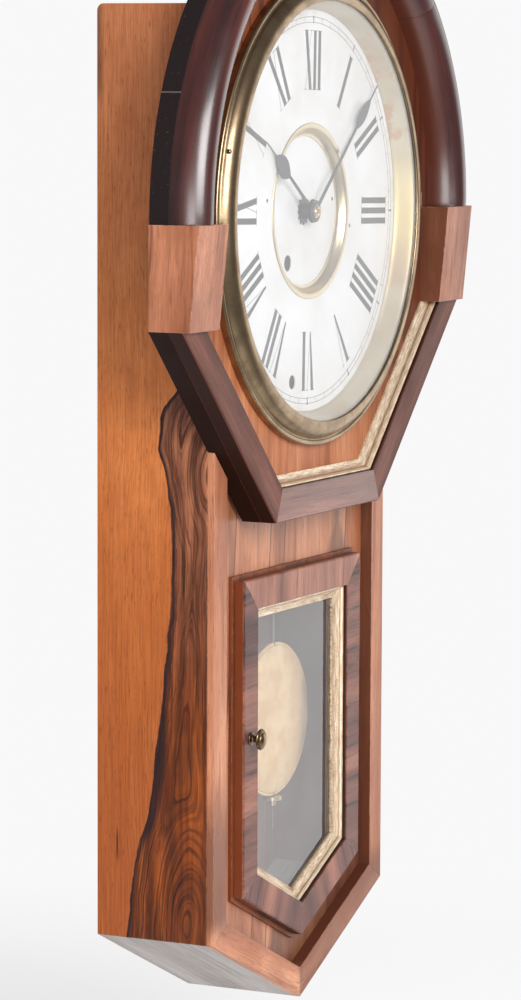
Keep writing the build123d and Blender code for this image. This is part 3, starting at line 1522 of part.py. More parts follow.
make_side_boards()
make_top_board()
make_bottom_boards()
make_backboard()
make_hanger_plate()
make_face_frame()
make_front_panel()
make_door_surround()
make_door()
make_latch()
make_door_hinges()
make_bezel_bracket()
make_head_board()
make_arch()
make_blocks()
make_octagon()
make_dial()
make_bezel()
make_hands()
make_train()
make_motion_work()
make_plates()
make_pillars()
make_winding()
make_verge()
make_pendulum()
make_screws()
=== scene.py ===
import bmesh
import bpy
from math import atan2, cos, hypot, pi, radians, sin
from mathutils import Matrix, Vector
from mathutils.geometry import tessellate_polygon


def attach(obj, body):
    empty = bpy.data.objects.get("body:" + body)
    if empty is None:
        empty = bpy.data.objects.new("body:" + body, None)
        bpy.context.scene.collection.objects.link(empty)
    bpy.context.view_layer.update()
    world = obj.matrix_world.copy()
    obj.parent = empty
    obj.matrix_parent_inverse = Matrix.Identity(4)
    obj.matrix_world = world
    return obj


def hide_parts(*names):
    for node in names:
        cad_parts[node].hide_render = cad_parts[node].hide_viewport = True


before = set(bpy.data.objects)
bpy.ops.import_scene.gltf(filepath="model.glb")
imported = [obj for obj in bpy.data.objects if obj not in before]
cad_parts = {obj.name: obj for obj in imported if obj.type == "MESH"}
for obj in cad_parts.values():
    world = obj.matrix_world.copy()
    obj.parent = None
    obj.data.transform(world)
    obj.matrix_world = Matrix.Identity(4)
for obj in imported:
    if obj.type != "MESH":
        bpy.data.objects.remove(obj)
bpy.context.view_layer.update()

MM = 0.001

# ---- places on the clock, in millimetres; depths are measured out from the wall
DIAL_Z = -118.0
DIAL_FRONT = 98.8
DIAL_CENTRE_FRONT = 92.8
DIAL_TURN = radians(1.57)       # the dial sits a little clockwise of upright
NUMERAL_IN, NUMERAL_OUT = 88.0, 130.1
TRACK_IN, TRACK_OUT = 136.2, 140.1
INK = 0.06
HEAD_RADIUS = 229.0
HEAD_BACK, HEAD_FRONT = 88.0, 103.3
ARCH_INNER = 198.4
ARCH_FRONT = 128.2
BLOCK_HALF, BLOCK_INNER = 230.4, 185.6
BLOCK_TOP, BLOCK_BOTTOM = -120.4, -193.0
OCTAGON_CORNER, OCTAGON_BOTTOM = 87.0, -336.8
OCTAGON_WIDTH = 23.8
OCTAGON_GILT_FRONT = 112.5
DIAL_REBATE, HEAD_OPENING = 158.0, 133.0
SLOPE = 0.463                   # rise of the case's pointed bottom for each unit sideways
DOOR_HALF, DOOR_TOP, DOOR_CORNER = 97.5, -378.6, -608.5
DOOR_STILE = 22.0
DOOR_FRONT = 95.4
DOOR_GILT_FRONT = 92.3
DOOR_GLASS_FRONT = 85.2
BOB_RADIUS, BOB_Z = 57.5, -493.6
PENDULUM_DEPTH = 70.0
KNOB_X, KNOB_Z = -86.5, -493.4
LATCH_BACK = 78.6
BARREL_X, BARREL_DEPTH, BARREL_RADIUS, BARREL_HALF = 173.5, 107.3, 2.2, 3.0

# ---- lights, surround and camera, in metres
CLOCK_MIDDLE = (0.0, -0.10, -0.28)
LIGHTS = (                      # name, bearing, rise, distance, size, power, whether it only adds sheen
    ("key_left_front", -39.0, 20.0, 2.1, (1.1, 1.0), 44.0, False),
    ("window_left", -68.0, -2.0, 3.2, (1.3, 1.3), 38.0, False),
    ("sheen_right", 63.0, -6.0, 3.0, (2.6, 3.4), 39.0, True),
)
WORLD_STRENGTH = 0.52
WORLD_SHEEN = 0.22
WORLD_SEEN = 0.955
FLOOR_Z, FLOOR_REACH = -0.80, 1.0
CAMERA_PLACE = (-2.62339, -1.36162, -0.01075)
CAMERA_TURN = (1.110, -0.109, 0.004)
CAMERA_LENS = 143.985


def srgb(red, green, blue):
    """A screen colour (0 to 255) as the linear values that shaders take."""
    values = []
    for part in (red, green, blue):
        part = part / 255
        values.append(part / 12.92 if part < 0.04045 else ((part + 0.055) / 1.055) ** 2.4)
    return (*values, 1.0)


# ---- material graphs
class Value:
    """One output in a material's graph. A sum of values adds the nodes that work it out."""

    def __init__(self, graph, socket):
        self.graph = graph
        self.socket = socket

    def __add__(self, other):
        return self.graph.math("ADD", self, other)

    def __radd__(self, other):
        return self.graph.math("ADD", other, self)

    def __sub__(self, other):
        return self.graph.math("SUBTRACT", self, other)

    def __rsub__(self, other):
        return self.graph.math("SUBTRACT", other, self)

    def __mul__(self, other):
        return self.graph.math("MULTIPLY", self, other)

    def __truediv__(self, other):
        return self.graph.math("DIVIDE", self, other)

    def __abs__(self):
        return self.graph.math("ABSOLUTE", self)

    def spread(self, low, high, to_low=0.0, to_high=1.0, shape="LINEAR"):
        """Moves the range low to high onto to_low to to_high, and holds at both ends."""
        inputs = {"Value": self, "From Min": low, "From Max": high, "To Min": to_low, "To Max": to_high}
        return self.graph.node("ShaderNodeMapRange", inputs, "Result", interpolation_type=shape)

    def step(self, low, high):
        """0 below low, 1 above high, smooth in between."""
        return self.spread(low, high, shape="SMOOTHSTEP")

    def ramp(self, stops, interpolation="LINEAR"):
        """Colours at places between 0 and 1."""
        result = self.graph.node("ShaderNodeValToRGB", {0: self}, "Color")
        ramp = result.socket.node.color_ramp
        ramp.interpolation = interpolation
        while len(ramp.elements) < len(stops):
            ramp.elements.new(0.5)
        for element, (position, colour) in zip(ramp.elements, stops):
            element.position = position
            element.color = (*colour[:3], 1.0)
        return result


class Graph:
    """Adds nodes to one material. place holds object coordinates, in metres."""

    def __init__(self, name):
        self.material = bpy.data.materials.new(name)
        self.material.use_nodes = True
        self.tree = self.material.node_tree
        self.tree.nodes.clear()
        self.surface = self.tree.nodes.new("ShaderNodeOutputMaterial").inputs["Surface"]
        self.place = self.node("ShaderNodeTexCoord", {}, "Object")

    def put(self, socket, value):
        if isinstance(value, Value):
            self.tree.links.new(value.socket, socket)
        else:
            socket.default_value = value

    def node(self, kind, inputs, output=0, **settings):
        """Adds a node, fills the inputs that aren't None and returns one output."""
        node = self.tree.nodes.new(kind)
        for key, setting in settings.items():
            setattr(node, key, setting)
        for key, value in inputs.items():
            if value is not None:
                self.put(node.inputs[key], value)
        return Value(self, node.outputs[output])

    def math(self, operation, *values, clamp=False):
        return self.node("ShaderNodeMath", dict(enumerate(values)), operation=operation, use_clamp=clamp)

    def dot(self, vector, direction):
        inputs = {0: vector, 1: direction}
        return self.node("ShaderNodeVectorMath", inputs, "Value", operation="DOT_PRODUCT")

    def axes(self, vector):
        first = self.node("ShaderNodeSeparateXYZ", {0: vector})
        return [Value(self, socket) for socket in first.socket.node.outputs]

    def join(self, x, y, z):
        return self.node("ShaderNodeCombineXYZ", {0: x, 1: y, 2: z})

    def noise(self, scale, detail=3.0, roughness=0.55, at=None, along=None):
        """Soft noise. along scales its third axis: below 1 it is drawn out that way."""
        place = at or self.place
        if along is not None:
            place = self.node("ShaderNodeVectorMath", {0: place, 1: (1, 1, along)}, operation="MULTIPLY")
        inputs = {"Vector": place, "Scale": scale, "Detail": detail, "Roughness": roughness}
        return self.node("ShaderNodeTexNoise", inputs, "Fac")

    def mix(self, factor, first, second, blend="MIX"):
        inputs = {0: factor, 6: first, 7: second}
        return self.node("ShaderNodeMix", inputs, 2, data_type="RGBA", blend_type=blend)

    def shaded(self, colour, shade):
        return self.mix(1.0, colour, shade, "MULTIPLY")

    def bump(self, height, strength, distance, normal=None):
        inputs = {"Strength": strength, "Distance": distance, "Height": height, "Normal": normal}
        return self.node("ShaderNodeBump", inputs)

    def geometry(self, name):
        return self.node("ShaderNodeNewGeometry", {}, name)

    def facing_left(self, low, high):
        """1 on faces that look to the clock's left."""
        return self.dot(self.geometry("Normal"), (-1.0, 0.0, 0.0)).step(low, high)

    def curve(self, value, reach, points):
        """A smooth line through (value, result) points, for results up to reach."""
        low, high = points[0][0], points[-1][0]
        result = self.node("ShaderNodeFloatCurve", {"Value": value.spread(low, high)})
        mapping = result.socket.node.mapping
        line = mapping.curves[0].points
        spots = [((x - low) / (high - low), y / reach) for x, y in points]
        line[0].location = spots[0]
        line[1].location = spots[-1]
        for x, y in spots[1:-1]:
            line.new(x, y)
        mapping.update()
        return result * reach

    def show(self, shader):
        self.put(self.surface, shader)
        return self.material

    def blend(self, factor, first, second):
        return self.node("ShaderNodeMixShader", {0: factor, 1: first, 2: second})

    def finish(self, colour, roughness, normal=None, **sockets):
        """Ends in a Principled shader. Other sockets go by name, with _ for a space."""
        inputs = {name.replace("_", " "): value for name, value in sockets.items()}
        inputs |= {"Base Color": colour, "Roughness": roughness, "Normal": normal}
        return self.show(self.node("ShaderNodeBsdfPrincipled", inputs))


# ---- wood
def grain_space(graph, grain, mirror=False, seed=0.0):
    """Coordinates whose third axis runs along the grain. mirror folds the left half onto the right."""
    place = graph.place
    if mirror:
        x, y, z = graph.axes(place)
        place = graph.join(abs(x), y, z)
    along = Vector(grain).normalized()
    helper = Vector((0, 1, 0)) if abs(along.y) < 0.9 else Vector((1, 0, 0))
    across = along.cross(helper).normalized()
    other = along.cross(across)
    return graph.join(
        graph.dot(place, across) + seed, graph.dot(place, other) + seed * 0.7, graph.dot(place, along)
    )


def wood_layers(graph, space, tones, streak=0.5, pores=0.35, wave=0.010, band=150.0):
    """Colour and height of plain wood from its grain coordinates. tones: light, middle, dark, streak."""
    light, middle, dark, streak_tone = tones
    sway = graph.noise(14.0, 2.0, at=space, along=0.35) - 0.5
    x, y, z = graph.axes(space)
    shift = sway * wave
    bent = graph.join(x + shift, y + shift, z)
    broad = graph.noise(38.0, 3.0, at=bent, along=0.10)
    bands = graph.noise(band, 4.0, 0.6, at=bent, along=0.035)
    fibres = graph.noise(950.0, 2.0, 0.6, at=bent, along=0.018)
    fleck = graph.noise(1500.0, 1.0, 0.5, at=bent, along=0.045)
    colour = broad.ramp([(0.30, dark), (0.50, middle), (0.70, light)])
    lines = bands.step(0.52, 0.70)
    colour = graph.mix(lines * streak, colour, streak_tone)
    shade = fibres.ramp([(0.30, (0.80, 0.78, 0.76)), (0.62, (1.08, 1.07, 1.05))])
    colour = graph.shaded(colour, shade)
    pits = fleck.step(0.60, 0.70)
    colour = graph.mix(pits * pores, colour, streak_tone)
    height = fibres - pits * 0.7
    return colour, height, fibres


def finish_wood(graph, colour, height, fibres, gloss, coat, wear=0.30, sheen=0.24, soft=0.0009):
    """Satin or polished finish: patchy sheen, open pores, edges softened to a small radius and rubbed."""
    patch = graph.noise(22.0, 3.0)
    rough = gloss + patch.spread(0.3, 0.7, -0.06, 0.08)
    rough = rough + fibres.spread(0.3, 0.7, 0.03, -0.03)
    rounded = graph.node("ShaderNodeBevel", {"Radius": soft}, samples=4)
    edges = graph.dot(rounded, graph.geometry("Normal")).step(0.99, 0.80)
    edges = edges * graph.noise(130.0, 3.0, 0.65).step(0.40, 0.62)
    colour = graph.mix(edges * wear, colour, srgb(222, 176, 144))
    normal = graph.bump(height, 0.22, 0.00025, rounded)
    return graph.finish(
        colour, rough, normal, Coat_Weight=coat, Coat_Roughness=gloss * 0.7, Specular_IOR_Level=sheen
    )


def make_wood(
    name, tones, grain, gloss, coat, seed,
    mirror=False, edge=None, wear=0.30, sheen=0.24, soft=0.0009, **layers,
):
    """A board cut one way. edge: (depth in mm, tone) recolours what lies behind that depth and adds painted
    shade to the inner edges there that face left.
    """
    graph = Graph(name)
    space = grain_space(graph, grain, mirror, seed)
    colour, height, fibres = wood_layers(graph, space, tones, **layers)
    if edge:
        depth, tone = edge
        x, y, _ = graph.axes(graph.place)
        behind = y.step(-depth * MM, (-depth + 0.5) * MM)
        colour = graph.mix(behind * 0.93, colour, tone)
        # painted shade on faces behind that depth that look left, except at the far left: the right reveal of
        # the door's window and the octagon's right inner edge
        inner = graph.facing_left(0.15, 0.35) * x.step(-0.070, -0.060)
        colour = graph.mix(inner * behind, colour, srgb(46, 24, 18))
    return finish_wood(graph, colour, height, fibres, gloss, coat, wear=wear, sheen=sheen, soft=soft)


def make_face_wood(name, grain, mirror, seed):
    """The face frame: peach veneer, darker on the right slope and low on the left, with painted shade on the
    reveals.
    """
    graph = Graph(name)
    x, _, z = graph.axes(graph.place)
    space = grain_space(graph, grain, mirror, seed)
    colour, height, fibres = wood_layers(graph, space, PEACH_TONES, streak=0.42, pores=0.5, wave=0.016)
    shade = graph.noise(30.0, 3.0, 0.6, along=0.5)
    colour = graph.mix(shade.spread(0.42, 0.66, 0.0, 0.40), colour, srgb(150, 88, 60))
    left_low = x.step(0.0, -0.01) * z.step(-0.50, -0.57) * z.step(-0.635, -0.615)
    colour = graph.mix(left_low * 0.85, colour, srgb(112, 70, 52))
    right_low = x.step(-0.002, 0.002) * z.step(-0.605, -0.625)
    colour = graph.mix(right_low * 0.62, colour, srgb(96, 54, 40))
    # painted shade on the reveals that look left on the right-hand side
    reveal = graph.facing_left(0.30, 0.42) * x.step(-0.01, 0.01)
    colour = graph.mix(reveal * 0.86, colour, srgb(74, 36, 24))
    return finish_wood(graph, colour, height, fibres, 0.38, 0.04, wear=0.40, sheen=0.20)


ORANGE_TONES = (srgb(190, 122, 76), srgb(168, 102, 60), srgb(138, 78, 42), srgb(104, 54, 28))
PEACH_TONES = (srgb(216, 154, 120), srgb(190, 128, 96), srgb(156, 98, 72), srgb(92, 52, 40))
PANEL_TONES = (srgb(210, 152, 118), srgb(182, 122, 90), srgb(144, 90, 64), srgb(80, 46, 36))
DOOR_TONES = (srgb(154, 102, 84), srgb(112, 68, 57), srgb(72, 42, 38), srgb(32, 20, 22))
RAIL_TONES = (srgb(188, 136, 114), srgb(154, 104, 86), srgb(112, 72, 60), srgb(60, 38, 36))
SURROUND_TONES = (srgb(142, 78, 46), srgb(116, 60, 34), srgb(84, 42, 26), srgb(44, 22, 16))
BLOCK_TONES = (srgb(196, 134, 102), srgb(166, 106, 78), srgb(130, 78, 56), srgb(74, 42, 32))
OCTAGON_TONES = (srgb(132, 84, 70), srgb(98, 60, 50), srgb(66, 40, 34), srgb(32, 18, 17))
BOTTOM_RAIL_TONES = (srgb(152, 102, 86), srgb(118, 76, 64), srgb(82, 52, 46), srgb(40, 24, 24))
PALE_TONES = (srgb(184, 179, 178), srgb(171, 165, 163), srgb(152, 145, 142), srgb(112, 104, 99))
INSIDE_TONES = (srgb(176, 140, 122), srgb(156, 120, 104), srgb(132, 98, 84), srgb(96, 66, 54))


def make_side_wood():
    """Orange sapwood with dark figured heartwood along the front, divided by a wavy black line."""
    graph = Graph("side_board_figured")
    x, y, z = graph.axes(graph.place)
    space = grain_space(graph, (0, 0, 1), True, 0.3)
    sap, sap_height, fibres = wood_layers(graph, space, ORANGE_TONES, streak=0.16, pores=0.30)
    # painted light and shade along the height: brightest at mid-height, darker towards the bottom and, under
    # the head, towards the top
    tint = z.spread(-0.66, 0.03).ramp(
        [
            (0.0, srgb(142, 63, 18)), (0.22, srgb(152, 73, 24)), (0.44, srgb(190, 106, 48)),
            (0.56, srgb(214, 128, 68)), (0.74, srgb(182, 112, 68)), (1.0, srgb(176, 112, 78)),
        ]
    )
    sap = graph.mix(0.62, sap, tint)
    soft = graph.noise(17.0, 3.0, along=0.4)
    sap = graph.mix(soft.spread(0.35, 0.62, 0.30, 0.0), sap, srgb(150, 76, 34))
    sap_shade = fibres.ramp([(0.32, (0.84, 0.80, 0.76)), (0.60, (1.05, 1.05, 1.05))])
    sap = graph.shaded(sap, sap_shade)
    mottle = graph.noise(75.0, 4.0, 0.65, along=0.6)
    sap = graph.mix(mottle.spread(0.42, 0.66, 0.0, 0.30), sap, srgb(146, 76, 38))
    dashes = graph.noise(800.0, 2.0, 0.6, along=0.13)
    sap = graph.mix(dashes.spread(0.58, 0.72, 0.0, 0.50), sap, srgb(92, 46, 24))

    # the heartwood's edge, as depth out from the wall at each height (lowest point first)
    edge = (
        (-0.660, 0.019), (-0.627, 0.024), (-0.577, 0.031), (-0.534, 0.043), (-0.491, 0.048), (-0.420, 0.056),
        (-0.350, 0.060), (-0.300, 0.054), (-0.276, 0.049), (-0.240, 0.063), (-0.200, 0.092),
    )
    ripple = (graph.noise(60.0, 4.0, along=0.6) - 0.5) * 0.006
    depth = y * -1.0
    inside = depth - (graph.curve(z, 0.100, edge) + ripple)

    # figure: growth lines that follow the border, and arches round a few eyes
    slow = graph.noise(15.0, 2.0, along=0.45)
    quick = graph.noise(95.0, 2.0, along=0.35)
    wobble = (slow - 0.5) * 0.022 + (quick - 0.5) * 0.0022
    field = inside + wobble + 0.004
    eyes = (                    # depth, height, squeeze along the grain, head start
        (0.072, -0.621, 0.36, -0.0100),
        (0.100, -0.470, 0.19, -0.0030),
        (0.092, -0.300, 0.50, -0.0050),
        (0.096, -0.385, 0.09, 0.0020),
    )
    for eye_depth, eye_z, squeeze, start in eyes:
        across = depth - eye_depth
        up = (z - eye_z) * squeeze
        round_eye = graph.math("SQRT", across * across + up * up) + wobble + start
        field = graph.math("SMOOTH_MIN", field, round_eye, 0.008)
    growth = graph.noise(300.0, 4.0, 0.62, at=graph.join(field, z * 0.05, 0.0))
    slim = graph.noise(640.0, 2.0, 0.5, at=graph.join(field, z * 0.02, 0.3))
    rings = graph.math("SINE", field * (2 * pi / 0.0052))
    streaks = graph.noise(120.0, 3.0, 0.6, at=space, along=0.04)
    lower = streaks.ramp([(0.32, srgb(94, 44, 15)), (0.50, srgb(130, 62, 22)), (0.66, srgb(160, 82, 31))])
    upper = streaks.ramp([(0.32, srgb(108, 66, 50)), (0.50, srgb(144, 88, 64)), (0.66, srgb(178, 114, 80))])
    heart = graph.mix(z.step(-0.50, -0.30), lower, upper)
    cloudy = graph.noise(48.0, 4.0, 0.6, along=0.5)
    heart = graph.mix(cloudy.spread(0.38, 0.66, 0.0, 0.45), heart, srgb(70, 38, 30))
    heart = graph.mix(growth.spread(0.56, 0.40, 0.0, 0.66), heart, srgb(58, 28, 18))
    vary = graph.noise(42.0, 2.0, along=0.3).spread(0.35, 0.65, 0.15, 1.0)
    strength = z.step(-0.50, -0.56).spread(0.0, 1.0, 0.55, 0.80)
    heart = graph.mix(rings.step(0.62, 1.0) * vary * strength, heart, srgb(34, 18, 14))
    heart = graph.mix(slim.spread(0.54, 0.66, 0.0, 0.55), heart, srgb(40, 20, 16))
    veins = graph.noise(260.0, 3.0, 0.55, at=space, along=0.022)
    long_zone = z.step(-0.52, -0.46) * z.step(-0.30, -0.36)
    veins = veins.step(0.54, 0.66) * long_zone
    heart = graph.mix(veins * 0.65, heart, srgb(32, 18, 16))
    # painted shadow: the top of the heartwood, under the head, darkened
    heart = graph.mix(z.step(-0.275, -0.235) * 0.7, heart, srgb(46, 34, 36))
    shade = fibres.ramp([(0.30, (0.78, 0.76, 0.76)), (0.62, (1.10, 1.09, 1.08))])
    heart = graph.shaded(heart, shade)

    inner = inside.step(-0.0005, 0.0005)
    colour = graph.mix(inner, sap, heart)
    thick = z.step(-0.585, -0.545) * z.step(-0.46, -0.515)
    width = graph.noise(16.0, 2.0).spread(0.35, 0.65, 0.0014, 0.0030) + thick * 0.0042
    rim = inner * (inside / width).step(2.1, 0.5) * streaks.spread(0.35, 0.65, 1.0, 0.80)
    colour = graph.mix(rim * 0.92, colour, srgb(30, 24, 28))

    # a short black check low on the sapwood, and a dark patch at the top back corner
    mark = abs(depth - 0.0160).step(0.0011, 0.0003) * abs(z + 0.568).step(0.016, 0.004)
    colour = graph.mix(mark * 0.8, colour, srgb(50, 28, 20))
    corner = depth.step(0.007, 0.001) * z.step(-0.05, -0.02)
    colour = graph.mix(corner * 0.6, colour, srgb(66, 44, 34))

    # bare wood on the face inside the case
    bare = abs(x).step(0.1300, 0.1297)
    colour = graph.mix(bare, colour, srgb(124, 100, 88))
    return finish_wood(graph, colour, sap_height, fibres, 0.38, 0.08)


def make_block_wood():
    """The wedge blocks: streaky veneer with rubbed corners; the right one's inner facet is darkest."""
    graph = Graph("block_veneer")
    x, _, z = graph.axes(graph.place)
    space = grain_space(graph, (0, 0, 1), False, 7.9)
    colour, height, fibres = wood_layers(graph, space, BLOCK_TONES, streak=0.60, wave=0.020)
    blotch = graph.noise(40.0, 3.0, 0.6, along=0.6)
    colour = graph.mix(blotch.spread(0.42, 0.66, 0.0, 0.45), colour, srgb(128, 74, 48))
    facet = graph.facing_left(0.25, 0.40) * x.step(-0.01, 0.01)
    colour = graph.mix(facet * 0.78, colour, srgb(74, 38, 26))
    low_front = x.step(0.01, -0.01) * z.step(-0.130, -0.185)
    colour = graph.mix(low_front * 0.28, colour, srgb(120, 66, 42))
    return finish_wood(graph, colour, height, fibres, 0.36, 0.08, wear=0.75)


def make_panel_wood():
    """The recessed panel: leaves of veneer side by side, with dark seams and a flame at the right."""
    graph = Graph("panel_leaves")
    x, _, z = graph.axes(graph.place)
    space = grain_space(graph, (0, 0, 1), False, 1.7)
    colour, height, fibres = wood_layers(graph, space, PANEL_TONES, streak=0.35, wave=0.016)
    lean = x + (z + 0.36) * -0.10
    leaves = (
        (0.0, (0.80, 0.76, 0.74)), (0.15, (1.05, 1.04, 1.02)), (0.37, (0.86, 0.82, 0.80)),
        (0.46, (1.04, 1.02, 1.00)), (0.86, (0.74, 0.60, 0.54)),
    )
    tone = lean.spread(-0.130, 0.130).ramp(leaves, "CONSTANT")
    colour = graph.shaded(colour, tone)
    for seam in (-0.091, -0.034, -0.010, 0.094):
        line = abs(lean - seam).step(0.0011, 0.0003)
        colour = graph.mix(line * 0.75, colour, srgb(66, 38, 30))
    flame = abs(x - 0.079) + (z + 0.352) * 0.35 + graph.noise(90.0) * 0.008
    colour = graph.mix(flame.step(0.016, 0.004) * 0.65, colour, srgb(70, 42, 34))
    return finish_wood(graph, colour, height, fibres, 0.38, 0.08)


def polar(graph):
    """Radius and angle about the dial's centre."""
    x, y, z = graph.axes(graph.place)
    up = z - DIAL_Z * MM
    radius = graph.math("SQRT", x * x + up * up)
    return radius, graph.math("ARCTAN2", x, up), y


def make_head_wood():
    """The head board: veneered face with a ring inside the arch, and an ebonised, scratched edge."""
    graph = Graph("head_face_and_edge")
    x, y, z = graph.axes(graph.place)
    radius, angle, _ = polar(graph)
    space = grain_space(graph, (0, 0, 1), False, 2.3)
    tones = (srgb(206, 142, 104), srgb(180, 114, 78), srgb(142, 82, 54), srgb(88, 46, 32))
    face, height, fibres = wood_layers(graph, space, tones, streak=0.22)
    upper = z.step(-0.25, -0.13)
    face = graph.mix(upper * 0.80, face, srgb(98, 46, 25))
    side = x.step(0.02, 0.12) * z.step(-0.34, -0.20)
    face = graph.mix(side * 0.72, face, srgb(80, 38, 25))
    dim = graph.noise(110.0, 3.0, 0.6, at=space, along=0.06)
    dim = dim.step(0.48, 0.66) * graph.math("MAXIMUM", upper, side)
    face = graph.mix(dim * 0.60, face, srgb(54, 26, 20))
    scratch = graph.noise(240.0, 3.0, 0.7, at=graph.join(angle * 0.5, y, radius))
    black = graph.mix(scratch.step(0.62, 0.76), srgb(34, 27, 27), srgb(84, 70, 66))
    chips = graph.noise(75.0, 2.0)
    black = graph.mix(chips.step(0.73, 0.77), black, srgb(104, 88, 80))
    black = graph.mix(z.step(-0.180, -0.200), black, srgb(30, 11, 6))
    joint = abs(angle + 1.181).step(0.0026, 0.0010)
    black = graph.mix(joint * 0.5, black, srgb(128, 116, 110))
    behind = y.step(-(HEAD_FRONT - 0.02) * MM, -(HEAD_FRONT - 0.08) * MM)
    colour = graph.mix(behind, face, black)
    return finish_wood(graph, colour, height, fibres, 0.42, 0.0, wear=0.05, sheen=0.08, soft=0.0003)


def make_arch_wood():
    """Polished rosewood: the grain runs round the arch and each segment has its own tone."""
    graph = Graph("polished_arch")
    radius, angle, y = polar(graph)
    space = graph.join(radius, y * -1.0, angle * 0.21)
    tones = (srgb(98, 42, 30), srgb(66, 26, 22), srgb(38, 15, 15), srgb(15, 7, 9))
    colour, height, fibres = wood_layers(graph, space, tones, streak=0.55, pores=0.25, band=190.0)
    segments = (
        (0.0, (1.0, 1.0, 1.0)), (0.25, (1.25, 1.1, 1.0)), (0.5, (0.9, 0.9, 0.95)), (0.75, (0.80, 0.75, 0.80))
    )
    segment = angle.spread(-pi / 2, pi / 2).ramp(segments, "CONSTANT")
    colour = graph.shaded(colour, segment)
    inner = radius.step(0.2035, 0.1990)
    colour = graph.mix(inner * 0.25, colour, srgb(130, 68, 42))
    rough = graph.noise(30.0, 3.0).spread(0.3, 0.7, 0.26, 0.36) + fibres * 0.04
    return graph.finish(
        colour, rough, graph.bump(height, 0.10, 0.0002),
        Coat_Weight=0.8, Coat_Roughness=0.22, Specular_IOR_Level=0.5,
    )


# ---- metal, gilt, glass, enamel
def make_brass(name, bright, dull, roughness, tarnish, spun=True, patchy=0.22):
    """Brass with turning marks, brown tarnish in patches and rubbed edges."""
    graph = Graph(name)
    radius, _, y = polar(graph)
    cloud = graph.noise(55.0, 4.0, 0.6)
    spots = graph.noise(420.0, 3.0, 0.6)
    age = (cloud + spots * 0.25).step(0.50, 0.78)
    colour = graph.mix(age * tarnish, bright, dull)
    colour = graph.mix(graph.geometry("Pointiness").step(0.53, 0.60) * 0.6, colour, bright)
    lines = graph.noise(1500.0, 2.0, at=graph.join(radius, y, 0.0))
    if not spun:
        lines = graph.noise(900.0, 3.0)
    rough = roughness + age * patchy
    grit = 0.010 if spun else 0.035
    rough = rough + spots.spread(0.3, 0.7, -grit, grit)
    return graph.finish(colour, rough, graph.bump(lines, 0.05, 0.0001), Metallic=1.0)


def make_gilt(name, front, reach, wear_and_shade_from):
    """Gold leaf on a moulding: streaked, with a painted highlight on its crest and painted shade in its groove
    and by the glass; worn and shaded with dark speckles deeper than the given depth (metres).
    """
    graph = Graph(name)
    x, y, z = graph.axes(graph.place)
    sunk = y * -1.0 - front * MM
    slow = (x + z) * 0.05
    streaks = graph.noise(1500.0, 4.0, 0.6, at=graph.join(sunk, slow, 0.0))
    leaf = [(0.32, srgb(178, 150, 120)), (0.50, srgb(214, 193, 166)), (0.66, srgb(238, 227, 210))]
    colour = streaks.ramp(leaf)
    # painted light and shade by depth: darker down by the glass, painted shade in the groove and a painted
    # highlight along the crest
    tone = sunk.spread(-reach, 0.0).ramp(
        [
            (0.0, (0.62, 0.52, 0.42)), (0.22, (0.86, 0.80, 0.72)), (0.42, (1.04, 1.02, 1.0)),
            (0.60, (0.94, 0.90, 0.86)), (0.70, (0.42, 0.32, 0.24)), (0.80, (0.90, 0.86, 0.82)),
            (0.94, (1.12, 1.10, 1.08)),
        ]
    )
    colour = graph.shaded(colour, tone)
    pits = graph.noise(760.0, 4.0, 0.7)
    cloud = graph.noise(60.0, 3.0, 0.6)
    # deeper than the wear depth, dark speckles stand for wear and for painted shade in the rebate by the
    # glass, so rubbed carries both from here on
    low = sunk.step(-wear_and_shade_from, -wear_and_shade_from - 0.0020)
    rubbed = pits.step(0.56, 0.66) * cloud.step(0.70, 0.36)
    rubbed = graph.math("ADD", rubbed, pits.step(0.48, 0.60) * low, clamp=True)
    colour = graph.mix(rubbed * 0.72, colour, srgb(70, 48, 28))
    metal = rubbed.spread(0.0, 1.0, 0.40, 0.05)
    return graph.finish(colour, 0.34 + rubbed * 0.4, graph.bump(pits, 0.30, 0.0003), Metallic=metal)


def make_steel(name, tone, roughness, spots):
    """Dull or blued steel with a little mottling."""
    graph = Graph(name)
    cloud = graph.noise(180.0, 4.0, 0.6)
    colour = graph.mix(cloud.step(0.48, 0.70) * 0.6, tone, spots)
    rough = roughness + cloud.spread(0.3, 0.7, -0.05, 0.12)
    brushed = graph.noise(1800.0, 2.0, along=0.1)
    return graph.finish(colour, rough, graph.bump(brushed, 0.08, 0.0001), Metallic=0.85)


def make_enamel():
    """Old off-white dial paint: faint stains, hairline crazing and fine specks."""
    graph = Graph("dial_enamel")
    cloud = graph.noise(16.0, 4.0, 0.6)
    paint = [(0.32, srgb(220, 216, 214)), (0.50, srgb(229, 227, 229)), (0.68, srgb(236, 235, 238))]
    colour = cloud.ramp(paint)
    specks = graph.noise(700.0, 2.0)
    colour = graph.mix(specks.step(0.70, 0.76) * 0.4, colour, srgb(150, 140, 128))
    radius, _, _ = polar(graph)
    rim = radius.step(0.136, 0.146)
    grime = rim * graph.noise(45.0, 4.0).step(0.46, 0.64)
    colour = graph.mix(grime * 0.5, colour, srgb(206, 180, 140))
    cells = {"Vector": graph.place, "Scale": 160.0}
    crackle = graph.node("ShaderNodeTexVoronoi", cells, "Distance", feature="DISTANCE_TO_EDGE").step(0.0, 0.05)
    rough = cloud.spread(0.3, 0.7, 0.42, 0.30)
    return graph.finish(colour, rough, graph.bump(crackle, 0.03, 0.0001), Coat_Weight=0.15)


